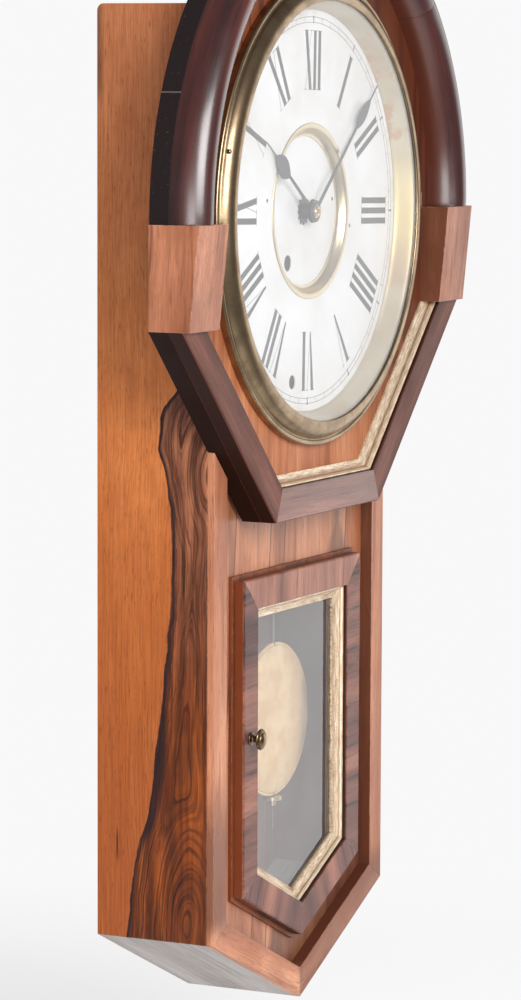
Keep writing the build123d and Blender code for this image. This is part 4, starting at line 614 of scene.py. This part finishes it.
def make_glass(name, haze, tint):
    """Clear old glass: a mirror-like film by angle over see-through, with a little dust."""
    graph = Graph(name)
    inner_side = graph.geometry("Backfacing")
    shine = graph.node("ShaderNodeFresnel", {"IOR": 1.48}) * (1.7 - inner_side) * (1.0 - inner_side)
    clear = graph.node("ShaderNodeBsdfTransparent", {"Color": tint})
    ripple = graph.bump(graph.noise(9.0, 1.0), 0.05, 0.002)
    mirror = graph.node("ShaderNodeBsdfGlossy", {"Roughness": 0.015, "Normal": ripple})
    dust = graph.node("ShaderNodeBsdfDiffuse", {"Color": srgb(214, 212, 214)})
    smear = graph.noise(24.0, 4.0, 0.65).spread(0.3, 0.7, haze * 0.6, haze * 1.4)
    return graph.show(graph.blend(shine, graph.blend(smear, clear, dust), mirror))


def make_sight_metal():
    """Thin pale paint on the sight ring, browned where the brass shows through, with a painted highlight on
    its right side.
    """
    graph = Graph("sight_metal")
    cloud = graph.noise(17.0, 2.0, 0.5)
    paint = [(0.34, srgb(180, 153, 120)), (0.50, srgb(199, 185, 156)), (0.68, srgb(210, 200, 178))]
    colour = cloud.ramp(paint)
    x, _, z = graph.axes(graph.place)
    up = z - DIAL_Z * MM
    right = x.step(0.06, 0.10)
    blotch = graph.noise(36.0, 4.0, 0.65).step(0.50, 0.62)
    blotch = blotch * (right * up.step(0.02, 0.06))
    colour = graph.mix(blotch * 0.75, colour, srgb(196, 138, 84))
    # painted highlight: a warm yellow band on the right side, level with the dial's centre
    painted_highlight = right * abs(up).step(0.060, 0.010)
    colour = graph.mix(painted_highlight * 0.45, colour, srgb(222, 198, 120))
    rough = graph.noise(60.0, 3.0).spread(0.3, 0.7, 0.42, 0.50)
    lines = graph.noise(500.0, 3.0)
    return graph.finish(colour, rough, graph.bump(lines, 0.04, 0.0001), Metallic=0.6)


def make_numeral_paint():
    """Worn black dial paint."""
    graph = Graph("numeral_paint")
    wear = graph.noise(260.0, 4.0, 0.65)
    colour = graph.mix(wear.step(0.56, 0.72), srgb(30, 30, 34), srgb(96, 94, 94))
    return graph.finish(colour, wear.spread(0.3, 0.7, 0.45, 0.6), graph.bump(wear, 0.05, 0.0001))


# ---- mesh helpers
class Shape:
    """Points (x, depth, z in millimetres) and faces, gathered from simple forms into one mesh."""

    def __init__(self):
        self.points = []
        self.faces = []

    def grid(self, rows, wrap_rows=False, wrap_columns=False):
        """A skin over equal rows of points. Returns the first point's number and a row's length."""
        start = len(self.points)
        width = len(rows[0])
        for row in rows:
            self.points += row
        for i in range(len(rows) if wrap_rows else len(rows) - 1):
            here = start + i * width
            ahead = start + (i + 1) % len(rows) * width
            for j in range(width if wrap_columns else width - 1):
                side = (j + 1) % width
                self.faces.append((here + j, here + side, ahead + side, ahead + j))
        return start, width

    def bar(self, rows):
        """A skin over closed rings of points, capped at both ends."""
        start, width = self.grid(rows, wrap_columns=True)
        last = start + (len(rows) - 1) * width
        self.faces.append(tuple(range(start, start + width)))
        self.faces.append(tuple(range(last, last + width)))

    def holed_face(self, outer, hole, depth):
        """A flat face between an outline and a hole, both (x, z), at one depth."""
        start = len(self.points)
        self.points += [(x, depth, z) for x, z in outer + hole]
        rings = [[Vector((x, z, 0.0)) for x, z in ring] for ring in (outer, hole)]
        for triangle in tessellate_polygon(rings):
            self.faces.append(tuple(start + index for index in triangle))

    def lathe(self, profile, centre_x, centre_z, steps):
        """Turn a closed profile of (radius, depth) points about an axis that runs out of the wall."""
        rows = []
        for x, z in circle(1.0, 0.0, 2 * pi, steps)[:-1]:
            rows.append([(centre_x + r * x, depth, centre_z + r * z) for r, depth in profile])
        self.grid(rows, wrap_rows=True, wrap_columns=True)

    def prism(self, outline, low, high, bevel=0.0):
        """A flat outline of (x, z) points between two depths, with a small bevel at the front."""
        rings = [(outline, low), (outline, high - bevel)]
        if bevel:
            count = len(outline)
            middle_x, middle_z = sum(x for x, _ in outline) / count, sum(z for _, z in outline) / count
            shrunk = []
            for x, z in outline:
                out_x, out_z = x - middle_x, z - middle_z
                length = hypot(out_x, out_z) or 1.0
                shrunk.append((x - out_x / length * bevel, z - out_z / length * bevel))
            rings.append((shrunk, high))
        self.bar([[(x, depth, z) for x, z in ring] for ring, depth in rings])

    def build(self, name, material, body, slot, replaces=(), smooth_angle=None):
        """Makes the mesh object and lets it ride on a body."""
        mesh = bpy.data.meshes.new(name)
        mesh.from_pydata([(x * MM, -depth * MM, z * MM) for x, depth, z in self.points], [], self.faces)
        mesh.validate()
        work = bmesh.new()
        work.from_mesh(mesh)
        bmesh.ops.remove_doubles(work, verts=work.verts, dist=0.000002)
        bmesh.ops.recalc_face_normals(work, faces=work.faces)
        work.to_mesh(mesh)
        work.free()
        if smooth_angle is not None:
            for polygon in mesh.polygons:
                polygon.use_smooth = True
            mesh.set_sharp_from_angle(angle=radians(smooth_angle))
        mesh.materials.append(material)
        piece = bpy.data.objects.new(name, mesh)
        bpy.context.scene.collection.objects.link(piece)
        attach(piece, body)
        if replaces:
            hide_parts(*replaces)


def circle(radius, start, end, steps):
    """Points on a circle about the origin, from start to end in radians from +X."""
    turns = [start + (end - start) * k / steps for k in range(steps + 1)]
    return [(radius * cos(turn), radius * sin(turn)) for turn in turns]


def dial_circle(radius, start, end, steps):
    return [(x, DIAL_Z + z) for x, z in circle(radius, start, end, steps)]


def smooth_profile(points, steps=3):
    """Catmull-Rom points through an open profile."""
    result = []
    last = len(points) - 1
    for i in range(last):
        p0, p1, p2, p3 = points[max(i - 1, 0)], points[i], points[i + 1], points[min(i + 2, last)]
        for k in range(steps):
            t = k / steps
            spot = []
            for a, b, c, d in zip(p0, p1, p2, p3):
                rise = (c - a) * t + (2 * a - 5 * b + 4 * c - d) * t * t + (3 * b - a - 3 * c + d) * t ** 3
                spot.append(b + 0.5 * rise)
            result.append(tuple(spot))
    result.append(points[-1])
    return result


# ---- materials in use
SIDE_WOOD = make_side_wood()
PANEL_WOOD = make_panel_wood()
HEAD_WOOD = make_head_wood()
ARCH_WOOD = make_arch_wood()
FACE_UPRIGHT = make_face_wood("face_upright", (0, 0, 1), False, 0.9)
FACE_SLOPE = make_face_wood("face_slope", (1, 0, SLOPE), True, 1.1)
DOOR_EDGE = (DOOR_FRONT - 0.9, srgb(112, 54, 28))
DOOR_ACROSS = make_wood(
    "door_cross_grain", DOOR_TONES, (1, 0, 0.05), 0.36, 0.06, seed=3.1, edge=DOOR_EDGE, wear=0.45,
    streak=0.85, wave=0.020, band=170.0,
)
DOOR_UP = make_wood(
    "door_up_grain", RAIL_TONES, (0.04, 0, 1), 0.36, 0.06, seed=4.3, edge=DOOR_EDGE, wear=0.45,
    streak=0.5, band=150.0,
)
DOOR_SLOPE = make_wood(
    "door_slope_grain", DOOR_TONES, (-SLOPE, 0, 1), 0.36, 0.06, seed=5.7, mirror=True, edge=DOOR_EDGE,
    wear=0.45, streak=0.7, band=150.0,
)
SURROUND_WOOD = make_wood("surround", SURROUND_TONES, (0, 0, 1), 0.4, 0.1, seed=6.1)
BLOCK_WOOD = make_block_wood()
OCTAGON_EDGE = (114.2, srgb(34, 15, 10))
OCTAGON_SLOPE = make_wood(
    "octagon_slope", OCTAGON_TONES, (1, 0, 1), 0.36, 0.05, seed=8.3, mirror=True, edge=OCTAGON_EDGE,
    wear=0.05, sheen=0.07, soft=0.0003, streak=0.45,
)
OCTAGON_FLAT = make_wood(
    "octagon_flat", BOTTOM_RAIL_TONES, (1, 0, 0), 0.33, 0.4, seed=9.7, edge=OCTAGON_EDGE,
    wear=0.10, streak=0.45,
)
PALE_WOOD = make_wood(
    "pale_underside", PALE_TONES, (1, 0, SLOPE), 0.6, 0.0, seed=10.3, mirror=True, streak=0.3
)
BACK_WOOD = make_wood("bare_backboard", INSIDE_TONES, (0, 0, 1), 0.6, 0.0, seed=11.9, streak=0.35)
AGED_BRASS = make_brass("aged_brass", srgb(158, 136, 108), srgb(88, 68, 50), 0.28, 0.42, patchy=0.05)
RING_BRASS = make_brass("ring_brass", srgb(220, 202, 168), srgb(190, 172, 146), 0.30, 0.15, patchy=0.02)
PLATE_BRASS = make_brass("plate_brass", srgb(206, 172, 104), srgb(140, 106, 60), 0.32, 0.5, spun=False)
BOB_BRASS = make_brass("bob_brass", srgb(255, 226, 176), srgb(244, 206, 152), 0.46, 0.6, spun=False)
KNOB_BRASS = make_brass("knob_brass", srgb(146, 122, 92), srgb(52, 38, 28), 0.22, 0.85, spun=False)
DOOR_GILT = make_gilt("door_gilt_leaf", DOOR_GILT_FRONT, 0.0080, 0.0046)
OCTAGON_GILT = make_gilt("octagon_gilt_leaf", OCTAGON_GILT_FRONT, 0.0125, 0.0075)
BLUED = make_steel("blued_steel", srgb(58, 56, 62), 0.36, srgb(92, 88, 90))
STEEL = make_steel("plain_steel", srgb(150, 146, 142), 0.38, srgb(92, 82, 74))
WIRE = make_steel("dark_wire", srgb(122, 110, 98), 0.42, srgb(70, 56, 46))
ENAMEL = make_enamel()
SIGHT_METAL = make_sight_metal()
NUMERAL_PAINT = make_numeral_paint()
DIAL_GLASS = make_glass("dial_glass_old", 0.05, (0.97, 0.975, 0.97, 1.0))
DOOR_GLASS = make_glass("door_glass_old", 0.04, (0.95, 0.95, 0.955, 1.0))

NODE_MATERIALS = (              # every other node takes PLATE_BRASS
    (SIDE_WOOD, "side_board_left side_board_right"),
    (BACK_WOOD, "top_board backboard door_glass_beads"),
    (PALE_WOOD, "bottom_boards"),
    (FACE_UPRIGHT, "face_stile_left face_stile_right"),
    (FACE_SLOPE, "face_rails"),
    (PANEL_WOOD, "front_panel"),
    (SURROUND_WOOD, "door_surround"),
    (DOOR_UP, "door_rail_top"),
    (DOOR_ACROSS, "door_stile_left door_stile_right"),
    (DOOR_SLOPE, "door_rails_bottom"),
    (DOOR_GLASS, "door_glass"),
    (DIAL_GLASS, "dial_glass"),
    (BLOCK_WOOD, "block_left block_right"),
    (OCTAGON_SLOPE, "octagon_rail_left octagon_rail_right"),
    (OCTAGON_FLAT, "octagon_rail_bottom"),
    (ENAMEL, "dial"),
    (AGED_BRASS, "door_hinge_leaves case_hinge_leaves bezel_hinge_bracket"),
    (RING_BRASS, "hand_nut rating_nut"),
    (BLUED, "hour_hand minute_hand mainspring"),
    (WIRE, "pendulum_rod"),
    (STEEL, "hanger_plate hinge_pins latch_tongue screws suspension_spring winding_arbor click verge"),
)
chosen = {name: material for material, names in NODE_MATERIALS for name in names.split()}
for node_name, node_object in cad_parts.items():
    for slot_holder in node_object.material_slots:
        slot_holder.material = chosen.get(node_name, PLATE_BRASS)


# ---- head board and arch
def make_head_board():
    """The board behind the arch and octagon, round on top, with the dial's stepped opening."""
    shape = Shape()
    foot = atan2(BLOCK_TOP - DIAL_Z, HEAD_RADIUS)
    outer = dial_circle(HEAD_RADIUS, foot, pi - foot, 120)
    outer += [(-BLOCK_INNER, BLOCK_TOP), (-BLOCK_INNER, BLOCK_BOTTOM), (-BLOCK_HALF, BLOCK_BOTTOM)]
    outer += [(-OCTAGON_CORNER, OCTAGON_BOTTOM), (OCTAGON_CORNER, OCTAGON_BOTTOM)]
    outer += [(BLOCK_HALF, BLOCK_BOTTOM), (BLOCK_INNER, BLOCK_BOTTOM), (BLOCK_INNER, BLOCK_TOP)]
    step_depth = DIAL_FRONT - 0.8
    opening = dial_circle(HEAD_OPENING, 0.0, 2 * pi, 144)[:-1]
    rebate = dial_circle(DIAL_REBATE, 0.0, 2 * pi, 144)[:-1]
    eased = []
    for x, z in outer:
        ease = 0.9985 if z >= BLOCK_TOP else 1.0
        eased.append((x * ease, DIAL_Z + (z - DIAL_Z) * ease))
    edge = ((outer, HEAD_BACK), (outer, HEAD_FRONT - 0.4), (eased, HEAD_FRONT))
    well = ((opening, HEAD_BACK), (opening, step_depth), (rebate, step_depth), (rebate, HEAD_FRONT))
    for rings in (edge, well):
        shape.grid([[(x, depth, z) for x, z in ring] for ring, depth in rings], wrap_columns=True)
    shape.holed_face(outer, opening, HEAD_BACK)
    shape.holed_face(eased, rebate, HEAD_FRONT)
    shape.build("head_board_veneered", HEAD_WOOD, "case", "ebonised", ["head_board"], 30)


def make_arch():
    """Four polished half-round segments, with a fine open joint between neighbours."""
    middle = (ARCH_INNER + HEAD_RADIUS) / 2
    half = (HEAD_RADIUS - ARCH_INNER) / 2
    rise = ARCH_FRONT - 0.05 - HEAD_FRONT
    foot = atan2(BLOCK_TOP - DIAL_Z, middle)
    segments, steps, round_steps = 4, 40, 24
    joint = 0.0007
    shape = Shape()
    for segment in range(segments):
        start = foot + (pi - 2 * foot) * segment / segments + joint
        end = foot + (pi - 2 * foot) * (segment + 1) / segments - joint
        rows = []
        for k in range(steps + 1):
            angle = start + (end - start) * k / steps
            ease = 0.25 if k in (0, steps) else 0.0
            row = []
            for j in range(round_steps + 1):
                turn = pi * j / round_steps
                out = (rise - ease) * sin(turn) ** 0.92
                radius = middle + (half - ease) * cos(turn)
                row.append((radius * cos(angle), HEAD_FRONT + out, DIAL_Z + radius * sin(angle)))
            rows.append(row)
        shape.bar(rows)
    shape.build("arch_polished", ARCH_WOOD, "case", "polished_rosewood", ["half_round_arch"], 40)


# ---- gilt strips
def door_line(inset):
    """The door's outline, closed, clockwise from top left, moved inwards."""
    side = DOOR_HALF - inset
    point = DOOR_CORNER - DOOR_HALF * SLOPE + inset * hypot(1.0, SLOPE)
    top = DOOR_TOP - inset
    corner = point + side * SLOPE
    return [(-side, top), (side, top), (side, corner), (0.0, point), (-side, corner), (-side, top)]


def octagon_line(inset):
    """The octagon's lower outline moved inwards, from the left block to the right one."""
    dx, dz = BLOCK_HALF - OCTAGON_CORNER, BLOCK_BOTTOM - OCTAGON_BOTTOM
    length = hypot(dx, dz)
    end = BLOCK_HALF - inset * length / dz
    corner = OCTAGON_CORNER - inset * (length - dx) / dz
    bottom = OCTAGON_BOTTOM + inset
    return [(-end, BLOCK_BOTTOM), (-corner, bottom), (corner, bottom), (end, BLOCK_BOTTOM)]


def make_strips(line, start, front, back, fall):
    """Mitred strips along a line that can be moved inwards. fall: (inset, depth below the front) points."""
    profile = smooth_profile([(inset, front - depth) for inset, depth in fall])
    profile += [(fall[-1][0], back), (0.0, back)]
    pieces = 24
    lines = [(line(start + inset), depth) for inset, depth in profile]
    shape = Shape()
    for side in range(len(lines[0][0]) - 1):
        rows = []
        for k in range(pieces + 1):
            t = k / pieces
            row = []
            for outline, depth in lines:
                (x0, z0), (x1, z1) = outline[side], outline[side + 1]
                row.append((x0 + (x1 - x0) * t, depth, z0 + (z1 - z0) * t))
            rows.append(row)
        shape.bar(rows)
    return shape


def make_gilt_strips():
    """Five strips round the door's glass and three inside the octagon: a bead, then a cove."""
    door_fall = [
        (0.0, 2.2), (0.15, 0.9), (0.8, 0.1), (1.7, 0.1), (2.5, 1.0), (2.9, 2.5), (4.0, 4.0), (5.8, 5.1),
        (7.6, 5.6), (9.0, 5.4),
    ]
    door = make_strips(door_line, DOOR_STILE, DOOR_GILT_FRONT, DOOR_GLASS_FRONT, door_fall)
    door.build("door_gilt_strips", DOOR_GILT, "door", "gilt", ["door_gilt"], 50)
    octagon_fall = [
        (0.0, 2.0), (0.1, 0.8), (0.7, 0.05), (1.5, 0.1), (2.1, 1.2), (2.6, 3.4), (3.6, 5.6), (5.2, 7.2),
        (7.0, 8.0), (8.0, 8.0),
    ]
    octagon = make_strips(octagon_line, OCTAGON_WIDTH, OCTAGON_GILT_FRONT, HEAD_FRONT, octagon_fall)
    octagon.build("octagon_gilt_strips", OCTAGON_GILT, "case", "gilt", ["octagon_gilt"], 50)


# ---- bezel and rings
def make_bezel():
    """The spun bezel with its lip, groove and bead, its hinge barrel and a small screw head."""
    outside = [
        (170.0, 103.8), (170.0, 107.6), (169.6, 109.0), (168.4, 109.7), (167.0, 109.6), (165.9, 108.7),
        (165.0, 109.0), (164.0, 111.0), (162.2, 113.2), (159.6, 115.1), (156.6, 116.2), (154.2, 116.4),
        (152.4, 116.2), (151.8, 115.6),
    ]
    inside = [
        (151.8, 114.9), (153.8, 114.9), (157.2, 113.7), (160.6, 111.4), (163.6, 108.4), (168.6, 107.6),
        (168.8, 103.8),
    ]
    shape = Shape()
    shape.lathe(smooth_profile(outside) + inside, 0.0, DIAL_Z, 240)
    low, high = DIAL_Z - BARREL_HALF, DIAL_Z + BARREL_HALF
    shape.prism([(169.0, low), (BARREL_X, low), (BARREL_X, high), (169.0, high)], 106.7, 107.9)
    ring = circle(BARREL_RADIUS, 0.0, 2 * pi, 24)[:-1]
    shape.bar([[(BARREL_X + x, BARREL_DEPTH + out, z) for x, out in ring] for z in (low, high)])
    shape.build("bezel_spun", AGED_BRASS, "bezel", "aged_brass", ["bezel"], 35)
    screw = Shape()
    head = [(0.05, 113.5), (1.1, 113.3), (1.7, 112.7), (1.8, 111.9), (1.8, 110.4), (0.05, 110.4)]
    screw.lathe(head, -156.6, DIAL_Z + 46.0, 24)
    screw.build("bezel_screw", KNOB_BRASS, "bezel", "aged_brass")


def make_sight_ring():
    """The pale sloping ring between glass and dial."""
    slope = smooth_profile([(151.2, 112.8), (150.2, 111.2), (148.4, 106.0), (146.8, 101.2), (145.4, 99.4)])
    back = [(145.4, 99.15), (146.4, 99.15), (152.0, 112.0), (155.2, 112.1), (155.2, 112.8)]
    shape = Shape()
    shape.lathe(slope + back, 0.0, DIAL_Z, 200)
    shape.build("sight_ring_painted", SIGHT_METAL, "bezel", "dial_paint", ["sight_ring"], 35)


def make_centre_ring():
    """The brass ring that lines the step to the dial's sunk centre."""
    high, low = DIAL_FRONT, DIAL_CENTRE_FRONT
    slope = [
        (64.0, high + 0.15), (63.7, high + 0.75), (62.8, high + 0.9), (61.6, high + 0.7), (60.0, high + 0.15),
        (58.6, low + 3.8), (57.0, low + 2.0), (55.6, low + 1.0), (54.3, low + 0.8), (54.2, low + 0.1),
    ]
    back = [(59.8, low + 0.05), (59.95, high + 0.02), (63.9, high + 0.02)]
    shape = Shape()
    shape.lathe(smooth_profile(slope) + back, 0.0, DIAL_Z, 180)
    shape.build("centre_ring_spun", RING_BRASS, "case", "polished_brass", ["dial_centre_ring"], 40)


# ---- dial markings
NUMERALS = ("XII", "I", "II", "III", "IIII", "V", "VI", "VII", "VIII", "IX", "X", "XI")
THICK, THIN, SERIF = 4.4, 0.4, 0.4
LETTERS = {
    # width; strokes as (across at the foot, across at the top, thickness there and there); serifs as
    # (across, half their length), at the foot and at the top
    "I": (7.6, [(0.0, 0.0, THICK, THICK)], [(0.0, 3.6)], [(0.0, 3.6)]),
    "V": (14.0, [(0.6, -3.9, 1.6, THICK), (0.9, 4.6, THIN, THIN)], [], [(-3.9, 3.4), (4.6, 2.2)]),
    "X": (
        14.0,
        [(3.7, -3.7, THICK, THICK), (-4.4, 4.4, THIN, THIN)],
        [(3.7, 3.4), (-4.4, 2.2)],
        [(-3.7, 3.4), (4.4, 2.2)],
    ),
}


def stroke(shape, angle, bottom, top, thick_bottom, thick_top):
    """One painted stroke between two (across, radius) points beside the ray at an angle."""
    outline = []
    corners = ((bottom, -thick_bottom), (bottom, thick_bottom), (top, thick_top), (top, -thick_top))
    for (across, radius), thick in corners:
        side = across + thick / 2
        x = radius * sin(angle) + side * cos(angle)
        outline.append((x, DIAL_Z + radius * cos(angle) - side * sin(angle)))
    shape.prism(outline, DIAL_FRONT + 0.01, DIAL_FRONT + INK)


def make_numerals():
    """Painted Roman numerals, read from the dial's centre."""
    shape = Shape()
    low, high = NUMERAL_IN, NUMERAL_OUT
    for hour, text in enumerate(NUMERALS):
        angle = radians(30 * hour) + DIAL_TURN
        left = -sum(LETTERS[letter][0] for letter in text) / 2
        for letter in text:
            width, strokes, feet, tops = LETTERS[letter]
            middle = left + width / 2
            for foot, top, thick_foot, thick_top in strokes:
                stroke(shape, angle, (middle + foot, low), (middle + top, high), thick_foot, thick_top)
            for serifs, start in ((feet, low - SERIF), (tops, high)):
                for across, reach in serifs:
                    place = middle + across
                    stroke(shape, angle, (place, start), (place, start + SERIF), 2 * reach, 2 * reach)
            left += width
    shape.build("dial_numerals", NUMERAL_PAINT, "case", "blued_steel")


def make_minute_track():
    """Two fine circles with sixty ticks and a small wedge at each hour."""
    shape = Shape()
    back, front = DIAL_FRONT + 0.01, DIAL_FRONT + INK
    for radius in (TRACK_IN, TRACK_OUT):
        inner, outer = radius - 0.18, radius + 0.18
        shape.lathe([(inner, back), (outer, back), (outer, front), (inner, front)], 0.0, DIAL_Z, 240)
    for minute in range(60):
        angle = radians(6 * minute) + DIAL_TURN
        if minute % 5:
            stroke(shape, angle, (0, TRACK_IN), (0, TRACK_OUT), 0.3, 0.3)
        else:
            stroke(shape, angle, (0, TRACK_IN - 1.0), (0, TRACK_OUT + 0.9), 0.6, 1.8)
    shape.build("minute_track", NUMERAL_PAINT, "case", "blued_steel")


# ---- small turned and cut pieces
def make_hand_washer():
    """A ragged toothed spring washer behind the hands, standing just off the dial's sunk centre."""
    teeth = 13
    outline = []
    for k in range(teeth * 2):
        radius = 10.6 + 0.5 * sin(2.3 * k) if k % 2 else 8.0
        angle = pi * k / teeth + 0.1
        outline.append((radius * cos(angle), DIAL_Z + radius * sin(angle)))
    shape = Shape()
    shape.prism(outline, 93.3, 94.0, 0.2)
    shape.lathe([(4.4, 94.0), (5.8, 94.0), (5.6, 96.8), (5.2, 98.8), (4.4, 98.9)], 0.0, DIAL_Z, 48)
    shape.build("hour_hand_washer", BLUED, "hour_hand", "blued_steel")


def make_ring_pins():
    """The clenched tips of the pins that hold the centre ring, dark with age."""
    shape = Shape()
    places = ((-71.0, 9.5, DIAL_FRONT), (66.6, -12.8, DIAL_FRONT), (49.0, 7.4, DIAL_CENTRE_FRONT))
    for across, up, depth in places:
        points = [(across + 1.1 * x, DIAL_Z + up + 1.5 * z) for x, z in circle(1.0, 0.0, 2 * pi, 10)[:-1]]
        shape.prism(points, depth + 0.01, depth + 0.35, 0.15)
    shape.build("centre_ring_pins", WIRE, "case", "blued_steel")


def make_knob():
    """The turned brass knob with its neck, mushroom head and raised button."""
    face = DOOR_FRONT + 0.2
    turned = [                  # radius, height above the door's face
        (4.6, 0.0), (4.6, 0.7), (3.4, 1.3), (2.4, 2.2), (2.3, 4.2), (3.4, 5.6), (6.4, 6.7), (7.5, 7.4),
        (7.6, 8.0), (6.8, 8.8), (5.4, 9.4), (4.9, 9.3), (4.5, 9.9), (3.2, 10.7), (1.6, 11.2), (0.05, 11.4),
    ]
    profile = smooth_profile([(radius, face + height) for radius, height in turned])
    shape = Shape()
    shape.lathe(profile + [(0.05, LATCH_BACK), (2.2, LATCH_BACK), (2.2, face)], KNOB_X, KNOB_Z, 64)
    shape.build("knob_turned", KNOB_BRASS, "latch", "aged_brass", ["door_knob"], 40)


def make_bob():
    """The pendulum's lenticular bob: a brass shell with a rolled rim."""
    edge = BOB_RADIUS
    shell = [                   # radius, depth from the rim's middle
        (0.05, 5.6), (edge * 0.35, 5.2), (edge * 0.7, 3.7), (edge - 4.0, 2.0), (edge - 2.2, 1.3),
        (edge - 1.0, 1.4), (edge - 0.2, 0.8), (edge, 0.0), (edge - 0.2, -0.8), (edge - 1.0, -1.3),
        (edge - 4.0, -2.2), (edge * 0.7, -3.9), (edge * 0.35, -5.5), (0.05, -6.0),
    ]
    shape = Shape()
    profile = smooth_profile([(radius, PENDULUM_DEPTH + depth) for radius, depth in shell], 4)
    shape.lathe(profile, 0.0, BOB_Z, 128)
    shape.build("bob_disc", BOB_BRASS, "pendulum", "bob_brass", ["pendulum_bob"], 60)


make_head_board()
make_arch()
make_gilt_strips()
make_bezel()
make_sight_ring()
make_centre_ring()
make_numerals()
make_minute_track()
make_hand_washer()
make_ring_pins()
make_knob()
make_bob()


# ---- floor, light, camera
def make_floor():
    """A plain pale floor that fades out into the white surround."""
    steps = 96
    mesh = bpy.data.meshes.new("floor")
    edge = circle(FLOOR_REACH, 0.0, 2 * pi, steps)[:-1]
    mesh.from_pydata([(x, y, FLOOR_Z) for x, y in edge], [], [tuple(range(steps))])
    graph = Graph("floor_pale")
    x, y, _ = graph.axes(graph.place)
    far = graph.math("SQRT", x * x + y * y).step(0.30, 0.95)
    pale = {
        "Base Color": (0.45, 0.45, 0.45, 1.0),
        "Roughness": 0.9,
        "Specular IOR Level": 0.0,
        "Emission Color": (1.0, 0.995, 1.0, 1.0),
        "Emission Strength": 0.58,
    }
    clear = graph.node("ShaderNodeBsdfTransparent", {})
    mesh.materials.append(graph.show(graph.blend(far, graph.node("ShaderNodeBsdfPrincipled", pale), clear)))
    floor = bpy.data.objects.new("floor", mesh)
    bpy.context.scene.collection.objects.link(floor)


def make_light(name, bearing, rise, distance, size, power, only_sheen):
    """A soft box at a bearing (degrees, 0 in front, negative to the left), aimed at the clock."""
    data = bpy.data.lights.new(name, "AREA")
    data.shape = "RECTANGLE"
    data.size, data.size_y = size
    data.energy = power
    light = bpy.data.objects.new(name, data)
    turn, lift = radians(bearing), radians(rise)
    away = Vector((sin(turn) * cos(lift), -cos(turn) * cos(lift), sin(lift)))
    light.location = Vector(CLOCK_MIDDLE) + away * distance
    light.rotation_mode = "QUATERNION"
    light.rotation_quaternion = (-away).to_track_quat("-Z", "Y")
    light.visible_camera = False
    light.visible_diffuse = not only_sheen
    bpy.context.scene.collection.objects.link(light)


def make_world():
    """Even white surround: near white to the eye and to polish, softer as a source of light."""
    world = bpy.data.worlds.new("surround")
    bpy.context.scene.world = world
    world.use_nodes = True
    tree = world.node_tree
    tree.nodes.clear()
    output = tree.nodes.new("ShaderNodeOutputWorld")
    path = tree.nodes.new("ShaderNodeLightPath")
    shader = None
    for strength, tone, ray in (
        (WORLD_STRENGTH, (0.98, 0.98, 1.0, 1.0), None),
        (WORLD_SHEEN, (0.98, 0.97, 1.0, 1.0), "Is Glossy Ray"),
        (WORLD_SEEN, (0.99, 0.985, 0.99, 1.0), "Is Camera Ray"),
    ):
        layer = tree.nodes.new("ShaderNodeBackground")
        layer.inputs["Color"].default_value = tone
        layer.inputs["Strength"].default_value = strength
        if ray:
            blend = tree.nodes.new("ShaderNodeMixShader")
            tree.links.new(path.outputs[ray], blend.inputs[0])
            tree.links.new(shader, blend.inputs[1])
            tree.links.new(layer.outputs[0], blend.inputs[2])
            layer = blend
        shader = layer.outputs[0]
    tree.links.new(shader, output.inputs[0])


def make_camera():
    """Far to the left of the clock and a little above its middle, with a long lens."""
    yaw, pitch, roll = CAMERA_TURN
    forward = Vector((sin(yaw) * cos(pitch), cos(yaw) * cos(pitch), sin(pitch)))
    level = Vector((cos(yaw), -sin(yaw), 0.0))
    upright = level.cross(forward)
    right = level * cos(roll) + upright * sin(roll)
    up = upright * cos(roll) - level * sin(roll)
    data = bpy.data.cameras.new("camera")
    data.sensor_width = 36.0
    data.lens = CAMERA_LENS
    data.clip_start, data.clip_end = 0.05, 60.0
    camera = bpy.data.objects.new("camera", data)
    turn = Matrix((right, up, -forward)).transposed()
    camera.matrix_world = Matrix.Translation(Vector(CAMERA_PLACE)) @ turn.to_4x4()
    bpy.context.scene.collection.objects.link(camera)
    bpy.context.scene.camera = camera


bpy.context.scene.view_settings.view_transform = "Standard"
make_floor()
make_world()
for settings in LIGHTS:
    make_light(*settings)
make_camera()
